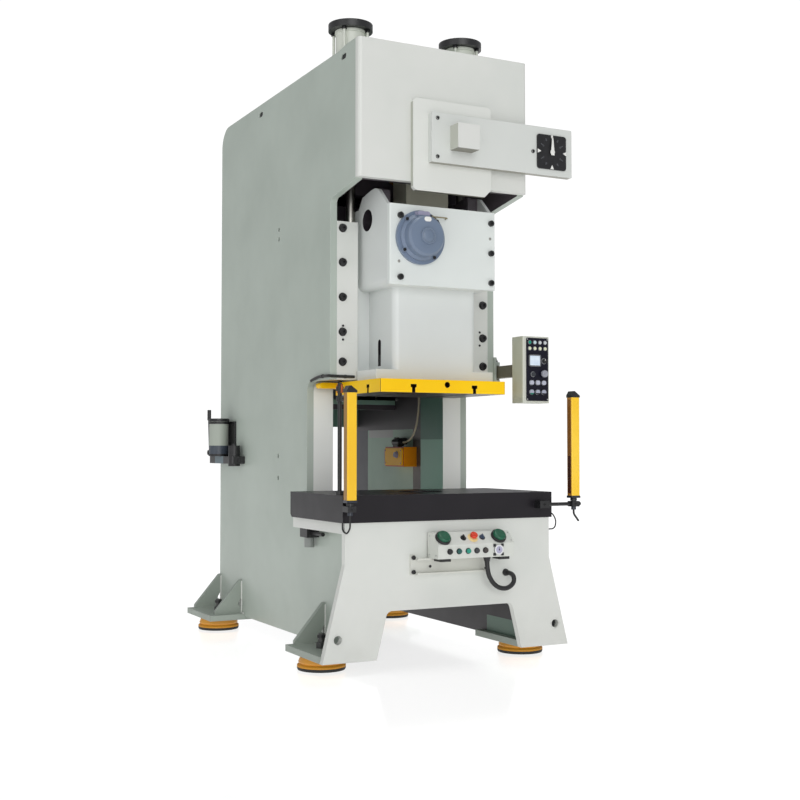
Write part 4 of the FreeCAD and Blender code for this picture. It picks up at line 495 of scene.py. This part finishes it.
class Shape:
    """Points and faces gathered in millimetres, then made into one object."""

    def __init__(self):
        self.points = []
        self.faces = []

    def turned(self, outline, centre, axis=UP, steps=32):
        """Closed outline of (radius, height[, flats]) points turned about an axis; flats make a polygon."""
        turn = Vector(UP).rotation_difference(Vector(axis)).to_matrix()
        rings = []
        for radius, height, *flats in outline:
            if radius < 1e-6:
                self.points.append(Vector(centre) + turn @ Vector((0, 0, height)))
                rings.append([len(self.points) - 1])
                continue
            ring = []
            for k in range(steps):
                a = 2 * math.pi * k / steps
                reach = radius
                if flats:
                    half = math.pi / flats[0]
                    reach = radius * math.cos(half) / math.cos(a % (2 * half) - half)
                spot = Vector((reach * math.cos(a), reach * math.sin(a), height))
                self.points.append(Vector(centre) + turn @ spot)
                ring.append(len(self.points) - 1)
            rings.append(ring)
        for first, second in zip(rings, rings[1:] + rings[:1]):
            self.skin(first, second)

    def skin(self, first, second):
        """Faces between two rings of points; a ring of one point is a tip."""
        steps = max(len(first), len(second))
        if steps == 1:
            return
        for k in range(steps):
            n = (k + 1) % steps
            if len(first) == 1:
                self.faces.append((first[0], second[k], second[n]))
            elif len(second) == 1:
                self.faces.append((first[k], second[0], first[n]))
            else:
                self.faces.append((first[k], second[k], second[n], first[n]))

    def slab(self, outline, low, high, centre=(0, 0, 0), axis=FRONT):
        """Upright outline of (across, up) points in millimetres, thickened from low to high along an axis."""
        normal = Vector(axis).normalized()
        ahead = Vector(UP)
        across = ahead.cross(normal).normalized()
        base = len(self.points)
        for height in (low, high):
            for x, y in outline:
                self.points.append(Vector(centre) + across * x + ahead * y + normal * height)
        count = len(outline)
        self.faces.append(tuple(range(base + count - 1, base - 1, -1)))
        self.faces.append(tuple(range(base + count, base + 2 * count)))
        for k in range(count):
            n = (k + 1) % count
            self.faces.append((base + k, base + n, base + count + n, base + count + k))
        return self

    def bead(self, start, end, radius):
        """Weld bead from start to end, swelling and shrinking once in every pitch."""
        pitch, sides = 8.0, 8
        start, end = Vector(start), Vector(end)
        along = end - start
        steps = max(2, int(2 * along.length / pitch))
        guide = Vector(UP) if abs(along.normalized().z) < 0.9 else Vector(RIGHT)
        side = along.cross(guide).normalized()
        lift = side.cross(along).normalized()
        rings = []
        for k in range(steps + 1):
            swell = radius * (0.55 if k in (0, steps) else 0.9 if k % 2 else 1.1)
            ring = []
            for s in range(sides):
                a = 2 * math.pi * s / sides
                self.points.append(start + along * (k / steps) + side * (swell * math.cos(a))
                                   + lift * (swell * math.sin(a)))
                ring.append(len(self.points) - 1)
            rings.append(ring)
        for first, second in zip(rings, rings[1:]):
            self.skin(first, second)
        self.faces.append(tuple(rings[0]))
        self.faces.append(tuple(reversed(rings[-1])))

    def piece(self, name, finish, slot, body="frame", bevel=0.0):
        """The finished object, riding on its body."""
        mesh = bpy.data.meshes.new(name)
        mesh.from_pydata([p * MM for p in self.points], [], self.faces)
        shell = bmesh.new()
        shell.from_mesh(mesh)
        bmesh.ops.recalc_face_normals(shell, faces=shell.faces)
        if bevel:
            sharp = [e for e in shell.edges if e.calc_face_angle(0.0) > 0.6]
            bmesh.ops.bevel(shell, geom=sharp, offset=bevel * MM, segments=2, profile=0.6, affect="EDGES",
                            clamp_overlap=True)
        shell.to_mesh(mesh)
        shell.free()
        mesh.polygons.foreach_set("use_smooth", [True] * len(mesh.polygons))
        mesh.set_sharp_from_angle(angle=math.radians(38))
        mesh.materials.append(finish)
        thing = placed(name, mesh)
        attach(thing, body)


def cap_screws(shape, spots, axis, radius, height):
    """Round screw heads with hexagon sockets."""
    outline = [(0, height * 0.4), (radius * 0.55, height * 0.4, 6), (radius * 0.55, height, 6),
               (radius * 0.88, height), (radius, height * 0.82), (radius, 0), (0, 0)]
    for spot in spots:
        shape.turned(outline, spot, axis, 24)


def hex_nuts(shape, spots, axis, radius, height, bore):
    """Hexagon nuts chamfered at both ends, with a stud's bore."""
    outline = [(bore, 0), (radius * 0.92, 0), (radius, height * 0.12, 6), (radius, height * 0.86, 6),
               (radius * 0.88, height), (bore, height)]
    for spot in spots:
        shape.turned(outline, spot, axis, 24)


def flat_rings(shape, spots, axis, inner, outer, height, steps=40):
    """Flat rings with a small chamfer on their outer rims."""
    soft = min(height, outer - inner) * 0.35
    outline = [(inner, 0), (outer, 0), (outer, height - soft), (outer - soft, height), (inner, height)]
    for spot in spots:
        shape.turned(outline, spot, axis, steps)


def outward(degrees):
    """Unit step in the plane of the press's front, turned from +X towards +Z."""
    a = math.radians(degrees)
    return Vector((math.cos(a), 0, math.sin(a)))


def level(degrees):
    """Unit step on the level, turned from +X towards +Y."""
    a = math.radians(degrees)
    return Vector((math.cos(a), math.sin(a), 0))


def rectangle(left, right, low, high):
    """Corners of an upright rectangle, as (across, up) points."""
    return [(left, low), (right, low), (right, high), (left, high)]


def rounded_outline(width, height, corner, steps=5):
    """Rectangle of (across, up) points about the middle, with round corners."""
    outline = []
    for sx, sy, turn in ((1, 1, 0), (-1, 1, 90), (-1, -1, 180), (1, -1, 270)):
        for k in range(steps + 1):
            a = math.radians(turn + 90 * k / steps)
            outline.append((sx * (width / 2 - corner) + corner * math.cos(a),
                            sy * (height / 2 - corner) + corner * math.sin(a)))
    return outline


def smooth_hose(name, route, radius, finish):
    """Round flexible tube on one smooth curve through its route in millimetres, held by the frame."""
    curve = bpy.data.curves.new(name, "CURVE")
    curve.dimensions = "3D"
    curve.bevel_depth = radius * MM
    curve.bevel_resolution = 5
    curve.resolution_u = 14
    curve.use_fill_caps = True
    spline = curve.splines.new("NURBS")
    spline.points.add(len(route) - 1)
    for point, spot in zip(spline.points, route):
        point.co = (spot[0] * MM, spot[1] * MM, spot[2] * MM, 1.0)
    spline.order_u = 3
    spline.use_endpoint_u = True
    curve.materials.append(finish)
    thing = placed(name, curve)
    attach(thing, "frame")
    return thing


# ---- frame
def frame_welds():
    """Fillet welds where the plates of the frame meet, alike on both sides."""
    outer, inner, rear = SIDE_OUT + 1.5, SIDE_IN - 1.5, BACK_Y - 1
    foot, bed, leg = -646, -162, -241          # tops of the feet, under the bed plate, along the front leg
    seams = Shape()
    runs = [  # X, then (Y, Z) of both ends, and the bead's radius
        (outer, (leg, foot), (leg, -166), 5.0),
        (outer, (-236, bed), (304, bed), 5.0),
        (outer, (-238, foot), (94, foot), 5.0),
        (outer, (1119, foot), (1486, foot), 5.0),
        *[(outer, (gusset, -645), (gusset, -484), 4.0) for gusset in (97, 121, 1149, 1173, 1467)],
        (SIDE_IN, (rear, 315), (rear, 1790), 4.5),
        (SIDE_IN, (rear, -644), (rear, -116), 4.5),
        (inner, (1002, 423), (1456, 423), 5.0),
        (inner, (538, 491), (998, 491), 5.0),
        (inner, (536, -108), (536, 488), 4.5),
        (inner, (-96, 1350), (-96, 1876), 4.5)]
    for side, (x, start, end, radius) in product((-1, 1), runs):
        seams.bead((side * x, *start), (side * x, *end), radius)
    seams.piece("frame_welds", front_enamel, "frame_paint")


def base_holes():
    """Rims of the two holes low in the base's front, and the dark plug set back in the right one."""
    x, z = 527, -582
    rims, plug = Shape(), Shape()
    flat_rings(rims, [(-x, BASE_Y, z), (x, BASE_Y, z)], FRONT, 18.3, 23.0, 1.6)
    plug.turned([(0, -26), (17.6, -26), (17.6, -24), (0, -24)], (x, BASE_Y, z), FRONT, 32)
    rims.piece("base_hole_rims", front_enamel, "front_paint")
    plug.piece("base_hole_plug", black_abs, "black_plastic")


def lifting_hole_plugs():
    """Dark plugs set back in the slotted lifting holes of the side plates."""
    plugs = Shape()
    for side, (y, z) in product((-1, 1), ((908, 1858), (-79, 1872))):
        plugs.slab(rounded_outline(51, 23, 11.4), -7, -5, (side * SIDE_OUT, y, z), (side, 0, 0))
    plugs.piece("lifting_hole_plugs", black_abs, "black_plastic")


def levelling_nuts():
    """Blackened lock nuts on the levelling bolts above the foot plates."""
    nuts = Shape()
    hex_nuts(nuts, product((-495, 495), (-37, 1280), (-604,)), UP, 20.0, 12.0, 14.3)
    nuts.piece("levelling_lock_nuts", black_oxide, "forged_steel")


def cylinder_fittings():
    """Tie-rod nuts, collar screws and end rings of the two balance cylinders."""
    nuts, bands = Shape(), Shape()
    foot, lid, y = 1924, 2048, 135              # heights of foot flange and lid, and the middles' Y
    for x, quarter in product((-284, 284), (0, 90, 180, 270)):
        for height in (foot + 0.2, lid + 3.5):
            hex_nuts(nuts, [Vector((x, y, height)) + level(quarter + 45) * 81], UP, 12.0, 10.0, 6.2)
        cap_screws(nuts, [Vector((x, y, foot)) + level(quarter) * 78], UP, 7.0, 7.0)
    for x in (-284, 284):
        flat_rings(bands, [(x, y, lid)], UP, 67.3, 71.0, 13.5)
        flat_rings(bands, [(x, y, foot + 0.3)], UP, 67.3, 70.0, 10.0)
    nuts.piece("cylinder_nuts", black_oxide, "dark_metal")
    bands.piece("cylinder_bands", cylinder_enamel, "cylinder_paint")


def gib_washers():
    """Dark washers under the heads of the gib bolts, and the small jacking screws beside them."""
    washers = Shape()
    for bolt_x, screw_x in ((-357, -355.2), (357, 341.0)):
        flat_rings(washers, product((bolt_x,), (GIB_Y,), (570, 701, 854, 1007, 1158)), FRONT, 15.3, 19.0, 2.2)
        cap_screws(washers, product((screw_x,), (GIB_Y,), (728, 667)), FRONT, 5.0, 3.0)
    washers.piece("gib_washers", black_oxide, "dark_metal")


def bolster_screws():
    """Hold-down screws sunk in the corners of the bolster."""
    screws = Shape()
    cap_screws(screws, product((-450, 450), (-230, 230), (-6,)), UP, 15.5, 5.0)
    screws.piece("bolster_screws", black_oxide, "dark_metal")


def head_edge_cable():
    """Black cable clipped along the lower edge of the head, round its left front corner."""
    route = [(-424, 246, 494), (-424, 200, 503), (-424, 150, 508), (-424, 90, 508), (-424, 49.5, 507),
             (-398, 49.5, 506), (-350, 49.5, 505), (-303, 49.5, 505)]
    smooth_hose("head_edge_cable", route, 6.5, black_rubber)
    clips = Shape()
    flat_rings(clips, [(-424, 115, 508)], REAR, 6.3, 8.6, 9.0)
    flat_rings(clips, [(-350, 49.5, 505)], RIGHT, 6.3, 8.0, 9.0)
    clips.piece("head_cable_clips", black_oxide, "dark_metal")


# ---- slide
def cover_pins():
    """Dowel pins of the slide's cover, flush-ground and grey."""
    cover_y = -210
    pins = Shape()
    for x, z in ((-216.9, 986.0), (235.2, 1115.2)):
        pins.turned([(0, 1.2), (5.5, 1.2), (6.5, 0.4), (6.5, 0), (0, 0)], (x, cover_y, z), FRONT, 24)
    pins.piece("cover_pins", turned_steel, "forged_steel", "slide")


def adjusting_motor_fittings():
    """Ear screws, bearing cap and the bare white plate of the small geared motor."""
    middle, reach = Vector((-118, -234, 1092)), 103
    screws, cap = Shape(), Shape()
    cap_screws(screws, [middle + outward(a) * reach for a in (135, 215, 305, 45)], FRONT, 7.0, 6.0)
    cap.turned([(0, 7), (22, 7), (27, 4.5), (29, 7.5), (33, 7.5), (35, 5.5), (36, 0), (0, 0)],
               (-114, MOTOR_Y, 1090), FRONT, 48)
    screws.piece("adjusting_motor_screws", black_oxide, "dark_metal", "slide")
    cap.piece("adjusting_motor_cap_ring", motor_enamel, "motor_paint", "slide")
    plate = Shape().slab(rounded_outline(34, 20, 9.8), 0, 1.2, (-116, MOTOR_Y, 1162))
    plate.piece("adjusting_motor_bare_plate", white_button, "button_white", "slide", 0.3)


# ---- indicator
def indicator_fittings():
    """Dark screws and washers of the dial arm."""
    spots = ((-70, 1600), (-70, 1434), (414, 1510))
    screws = Shape()
    cap_screws(screws, [(x, ARM_Y - 5, z) for x, z in spots], FRONT, 6.3, 1.6)
    flat_rings(screws, [(x, ARM_Y, z) for x, z in spots], FRONT, 6.2, 8.6, 1.4)
    screws.piece("indicator_screws", black_oxide, "dark_metal")


def dial_marks():
    """White pointers at the quarter hours of the dial, a square tick at the top and small grey spots."""
    dial = Vector((511, -290, 1514))
    white, spots = Shape(), Shape()
    for hour in (3, 6, 9):
        out, side = outward(90 - 30 * hour), outward(-30 * hour) * 9
        corners = (out * 58, out * 76 + side, out * 76 - side)
        white.slab([(corner.x, corner.z) for corner in corners], 0.1, 2.4, dial)
    white.slab(rounded_outline(9, 12, 1.0, 2), 0.1, 2.4, dial + Vector(UP) * 70)
    for hour in (1, 2, 4, 5, 7, 8, 10, 11):
        reach = 52 if hour % 2 == 0 else 60
        spots.turned([(0, 1.0), (4.0, 1.0), (4.8, 0.1), (0, 0.1)], dial + outward(90 - 30 * hour) * reach,
                     FRONT, 16)
    white.piece("dial_pointers", white_button, "button_white")
    spots.piece("dial_spots", spot_print, "box_paint")

    needle_hub = (511, -296, 1514)
    blade = Shape().slab([(-9, -14), (9, -14), (8.5, 8), (3.2, 60), (0, 66), (-3.2, 60), (-8.5, 8)],
                         1.2, 2.4, needle_hub)
    blade.piece("needle_blade", white_button, "button_white", "needle", 0.4)


# ---- light curtains
def curtain_fittings():
    """Smoked filter windows that face each other, their screws and rings, and the post's terminals."""
    left, right, y = -491, 604, -311            # middles of the two housings
    windows, screws, terminals = Shape(), Shape(), Shape()
    for x, facing in ((left, 1), (right, -1)):
        windows.slab(rectangle(-11, 11, -8, 408), 0.1, 1.0, (x + facing * 22, y, 0), (facing, 0, 0))
        cap_screws(screws, [(x - 16, y - 20, 423), (x + 16, y - 20, 421), (x - 16, y - 20, -23),
                            (x + 16, y - 20, -23)], FRONT, 2.6, 1.4)
        flat_rings(screws, [(x, y, -40)], UP, 11.2, 15.0, 11.0)
    cap_screws(screws, [(-498, -258, 395)], LEFT, 5.0, 3.0)
    cap_screws(screws, [(right, -330, -54), (left, -330, -54), (444, -323, -54)], FRONT, 5.0, 3.0)

    post_y = -209
    flat_rings(screws, [(left, post_y, 428)], UP, 9.3, 16.0, 20.0)
    for side in (-1, 1):
        terminals.turned([(0, 0), (4.5, 0), (5.0, 1), (5.0, 34), (3.5, 36), (0, 36)],
                         (left, post_y + side * 20, 420), UP, 16)
        screws.slab(rectangle(-5, 5, -4, 4), 0, 16, (left, post_y + side * 20, 436), (0, -side, 0))
    windows.piece("curtain_windows", lens_glass, "black_plastic")
    terminals.piece("post_terminals", copper_terminal, "bronze")
    screws.piece("curtain_screws", black_oxide, "dark_metal")


# ---- two-hand control
SLOPE = Vector((0, -0.7071, 0.7071))
DESK = (-349, -184)           # Y and Z of the buttons' seats on the sloping face
LAMP_Z = -236                 # height of the lamps and the counter on the upright face


def control_box_fittings():
    """Collars and rings of the buttons and lamps, and the screws of the case."""
    black, cream, steel = Shape(), Shape(), Shape()
    for x in (-84, 186):
        black.turned([(29.6, 11.2), (29.6, 12.6), (32.4, 12.6), (33.4, 11.4), (33.9, 0.2), (32.3, 0.2)],
                     (x, *DESK), SLOPE, 48)
    cream.turned([(7.6, 4.1), (7.6, 4.9), (16, 4.9), (19, 4.1), (23, 1), (23, 0.1), (17.2, 0.1), (17.2, 4.1)],
                 (60, *DESK), SLOPE, 40)
    flat_rings(black, [(14, *DESK), (106, *DESK)], SLOPE, 10.6, 13.0, 3.2)
    flat_rings(black, product(LAMPS, (-373,), (LAMP_Z,)), FRONT, 10.2, 12.4, 3.4)
    for x, step in product((-110, 242), (15, -15)):
        cap_screws(steel, [(x, DESK[0] + step, DESK[1] + step)], SLOPE, 3.2, 1.8)
    for side, x in ((-1, face("control_box", "X", 0)), (1, face("control_box", "X", 1))):
        cap_screws(steel, [(x, -355, -252), (x, -300, -252), (x, -300, -174)], (side, 0, 0), 3.6, 2.0)
    black.piece("control_collars", black_abs, "black_plastic")
    cream.piece("emergency_ring", cream_ring, "yellow_paint")
    steel.piece("control_case_screws", zinc_plate, "forged_steel")


def counter_fittings():
    """Plain violet-grey face of the stroke counter, with its hand."""
    middle = (sum(COUNTER) / 2, -381, LAMP_Z)
    disc = Shape()
    disc.turned([(0, 1.0), (14.5, 1.0), (15.5, 0.1), (0, 0.1)], middle, FRONT, 36)
    disc.piece("counter_face", violet_grey_print, "box_paint")
    needle = Shape().slab([(-1.0, -3), (1.0, -3), (0.4, 12), (-0.4, 12)], 1.05, 1.5, middle)
    needle.turned([(0, 1.9), (2.6, 1.9), (3.2, 1.0), (0, 1.0)], middle, FRONT, 20)
    needle.piece("counter_needle", black_abs, "black_plastic")


def bracket_fittings():
    """Screws and nuts of the channel under the control box."""
    bolts = Shape()
    cap_screws(bolts, [(-121.5, -307, -299)], FRONT, 6.0, 3.0)
    cap_screws(bolts, [(146, -307, -318), (155, -307, -318)], FRONT, 4.0, 3.0)
    hex_nuts(bolts, [(-190, -291, -262), (-190, -291, -322)], FRONT, 10.0, 3.2, 7.1)
    bolts.piece("bracket_bolts", black_oxide, "dark_metal")


def control_conduit():
    """The control box's hose in its two glands, from the box's underside into the base."""
    box_end, base_end = (142, -330, -266), (270, BASE_Y, -345)
    glands = Shape()
    glands.turned([(10.3, 0), (15.5, 0), (15.5, 9, 6), (14, 11, 6), (12, 22), (10.3, 22)], box_end, DOWN, 24)
    glands.turned([(10.3, 0), (15.5, 0), (15.5, 8, 6), (12.5, 10), (10.3, 20)], base_end, FRONT, 24)
    glands.piece("hose_glands", black_abs, "black_plastic")
    route = [box_end, (142, -330, -300), (150, -330, -352), (186, -330, -398), (238, -330, -411),
             (280, -327, -388), (284, -318, -354), (270, -298, -343), base_end]
    hose = smooth_hose("control_conduit", route, 10.0, cable_sheath)
    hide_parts("control_hose")


# ---- pendant
def pendant_fittings():
    """Bezels, screen, key rims and knob line of the pendant, and its case screws."""
    film = -253                                 # Y of the panel's film
    screen_x, screen_z = 438.5, 581
    bezel, screws, glass = Shape(), Shape(), Shape()
    flat_rings(bezel, product((412, 439, 466, 493), (film,), (662, 635)), FRONT, 7.2, 9.2, 3.4, 28)
    flat_rings(bezel, product((421, 453, 485), (film,), (441, 483)), FRONT, 11.2, 12.2, 4.0, 32)
    flat_rings(bezel, [(430, film, 520)], FRONT, 10.2, 12.6, 3.5, 32)
    flat_rings(bezel, [(488, film, 580)], FRONT, 10.6, 13.5, 1.6, 32)
    for bar in ((408, 411, 555, 607), (466, 469, 555, 607), (408, 469, 604, 607), (408, 469, 555, 558)):
        bezel.slab(rectangle(*bar), 0.1, 5.5, (0, film, 0))
    glass.slab(rounded_outline(52, 43, 1.5, 3), 4.1, 4.6, (screen_x, film, screen_z))
    cap_screws(screws, product((401, 506), (film,), (409, 676)), FRONT, 2.8, 1.4)
    for end, axis in ((0, LEFT), (1, RIGHT)):
        case = face("pendant_box", "X", end)
        cap_screws(screws, product((case,), (-235, -175), (410, 672)), axis, 3.0, 1.2)
    bezel.piece("pendant_bezels", grey_print, "black_plastic", "pendant")
    glass.piece("pendant_screen", screen_glass, "button_white", "pendant")
    screws.piece("pendant_screws", zinc_plate, "forged_steel", "pendant")

    line = Shape().slab(rectangle(-0.8, 0.8, 1, 9), 12.05, 12.5, (488, film, 580))
    line.piece("knob_line", white_button, "button_white", "pendant_knob")


def pendant_arm_fittings():
    """Flange between the pendant's arm and case, and the bracket's screws and pivot nut."""
    flange, bracket = Shape(), Shape()
    flange.slab(rounded_outline(62, 84, 6), 0, 8, (452, face("pendant_box", "Y", 1), 545), REAR)
    cap_screws(flange, product((428, 476), (-152,), (511, 579)), REAR, 4.0, 3.0)
    cap_screws(bracket, product((428.5,), (62, 138), (485, 605)), RIGHT, 7.0, 6.0)
    hex_nuts(bracket, [(452, 100, 595)], UP, 14.0, 9.0, 9.2)
    flange.piece("pendant_flange", arm_enamel, "box_paint", "pendant", 1.0)
    bracket.piece("pendant_bracket_screws", black_oxide, "dark_metal")


# ---- small fittings
def valve_fittings():
    """Lid screws, button rim, lead gland and the black clip over it, of the air valve in the throat."""
    lid = 300.5
    screws, clip = Shape(), Shape()
    cap_screws(screws, product((lid,), (775, 945), (115, 180)), LEFT, 3.5, 2.0)
    flat_rings(screws, [(lid, 817, 158)], LEFT, 14.2, 18.0, 3.0)
    clip.turned([(18.2, 0), (21.5, 0), (21.5, 10, 6), (19, 13, 6), (12, 20), (5.6, 20), (5.6, 26), (7.5, 26)],
                (342.5, 850, 222), FRONT, 24)
    clip.slab(rounded_outline(96, 34, 12), 0, 18, (SIDE_IN, 905, 228), LEFT)
    clip.slab(rounded_outline(30, 26, 5), 18, 34, (SIDE_IN, 930, 236), LEFT)
    screws.piece("valve_screws", valve_enamel, "yellow_paint")
    clip.piece("valve_gland", black_abs, "black_plastic", bevel=1.0)


def throat_screws():
    """Two bright screws on the right wall at the back of the throat."""
    screws = Shape()
    cap_screws(screws, [(SIDE_IN, 1223.6, 466), (SIDE_IN, 977.8, 450)], LEFT, 9.0, 7.0)
    screws.piece("throat_screws", zinc_plate, "forged_steel")


def pump_fittings():
    """Bands, union nuts and screws of the lubrication pump, and the ring on its lever's hub."""
    steel, black = Shape(), Shape()
    flat_rings(black, [(-480.5, 1335, 151), (-480.5, 1335, 318)], UP, 50.2, 52.4, 10.0)
    flat_rings(black, [(-496.6, 1457, 168)], LEFT, 9.3, 13.0, 3.0)
    hex_nuts(steel, [(-456.5, 1165, 205)], UP, 13.0, 10.0, 4.0)
    steel.turned([(0, 0), (9.5, 0), (9.5, 8, 6), (6, 10), (6, 18), (0, 18)], (-447, 1115, 131), FRONT, 24)
    cap_screws(steel, product((-428.5,), (1260, 1410), (170, 310)), LEFT, 6.0, 4.0)
    steel.piece("pump_fittings", black_oxide, "forged_steel")
    black.piece("pump_bands", black_abs, "black_plastic")


def guard_fittings():
    """Screws round the rear guard's rim, over the flywheel and under the motor's pulley."""
    rim_y = 1512
    screws = Shape()
    for height, reach, angles in ((FLYWHEEL_Z, 344, range(-10, 191, 25)), (PULLEY_Z, 132, (235, 270, 305))):
        for out in map(outward, angles):
            cap_screws(screws, [Vector((0, rim_y, height)) + out * reach], out, 6.5, 4.5)
    screws.piece("guard_screws", black_oxide, "dark_metal")


def motor_fittings():
    """Air slots of the fan cowl and terminal-box screws of the drive motor."""
    slots, screws = Shape(), Shape()
    for radius in (30, 50, 70, 90):
        flat_rings(slots, [(0, 961, PULLEY_Z)], FRONT, radius, radius + 8, 0.6)
    cap_screws(screws, product((face("motor", "X", 1),), (1123, 1223), (594, 674)), RIGHT, 4.5, 3.0)
    slots.piece("cowl_slots", black_abs, "black_plastic")
    screws.piece("terminal_box_screws", zinc_plate, "forged_steel")


# ---- room
WALL_LIGHT = 0.24             # light from the studio walls on the press, against 1 for white
WALL_GLOSS = 0.3              # how much of the white walls its glossy faces mirror
TABLE_REACH = 30.0            # half width of the table, in metres
TABLE_CLOUDS_MM = 900.0       # drift of the table's white


def lit_table():
    """Lit white table under the press, a little glossy."""
    corners = 64
    turns = [2 * math.pi * k / corners for k in range(corners)]
    rim = [(TABLE_REACH * math.cos(a), TABLE_REACH * math.sin(a), FLOOR_Z * MM) for a in turns]
    floor_mesh = bpy.data.meshes.new("floor")
    floor_mesh.from_pydata(rim, [], [tuple(range(corners))])
    table, tree, shader, place = start_material("lit_white_table", {
        "Roughness": 0.14, "IOR": 1.35, "Emission Color": (1.0, 1.0, 1.0, 1.0), "Emission Strength": 0.76})
    white = mottled(tree, place, TABLE_CLOUDS_MM, "#A6A6A5 #A9A9A8 #ACACAB")
    tree.links.new(white, shader.inputs["Base Color"])
    floor_mesh.materials.append(table)
    placed("floor", floor_mesh)


def studio_walls():
    """Dim surroundings that look white to the camera."""
    world = bpy.data.worlds.new("studio_walls")
    bpy.context.scene.world = world
    world.use_nodes = True
    tree = world.node_tree
    tree.nodes.clear()
    rays = add(tree, "ShaderNodeLightPath")
    seen = add(tree, "ShaderNodeMath", {"operation": "MULTIPLY_ADD", 1: WALL_GLOSS},
               {0: rays.outputs["Is Glossy Ray"], 2: rays.outputs["Is Camera Ray"]})
    dim = add(tree, "ShaderNodeBackground", {"Color": (0.95, 0.97, 1.0, 1.0), "Strength": WALL_LIGHT})
    white = add(tree, "ShaderNodeBackground", {"Color": (1.0, 1.0, 1.0, 1.0), "Strength": 1.05})
    both = add(tree, "ShaderNodeMixShader", None,
               {0: seen.outputs[0], 1: dim.outputs[0], 2: white.outputs[0]})
    add(tree, "ShaderNodeOutputWorld", None, {"Surface": both.outputs[0]})


def soft_lamps():
    """Three broad soft lamps: in front, at the left and above."""
    lamps = {"front_lamp": ((-0.25, -0.94, 0.22), 1.03), "left_lamp": ((-0.88, -0.35, 0.3), 0.33),
             "top_lamp": ((0.05, -0.15, 1.0), 0.98)}
    for name, (toward, strength) in lamps.items():
        lamp = bpy.data.lights.new(name, "SUN")
        lamp.angle = math.radians(40.0)
        lamp.energy = strength
        placed(name, lamp).rotation_euler = Vector(toward).to_track_quat("Z", "Y").to_euler()


def photograph_camera():
    """Camera where the photograph was taken from, about waist height at the left front."""
    lens = bpy.data.cameras.new("photograph")
    lens.lens = 55.395
    lens.sensor_width = 36.0
    camera = placed("photograph", lens)
    camera.location = (-2.6005, -4.8263, 0.1971)
    camera.rotation_euler = (math.radians(92.192), 0.0, math.radians(-27.356))
    bpy.context.scene.camera = camera


for build in (frame_welds, base_holes, lifting_hole_plugs, levelling_nuts, cylinder_fittings, gib_washers,
              bolster_screws, cover_pins, adjusting_motor_fittings, head_edge_cable, indicator_fittings,
              dial_marks, curtain_fittings, control_box_fittings, counter_fittings, bracket_fittings,
              control_conduit, pendant_fittings, pendant_arm_fittings, valve_fittings, throat_screws,
              pump_fittings, guard_fittings, motor_fittings, lit_table, studio_walls, soft_lamps,
              photograph_camera):
    build()
bpy.context.scene.view_settings.view_transform = "Standard"
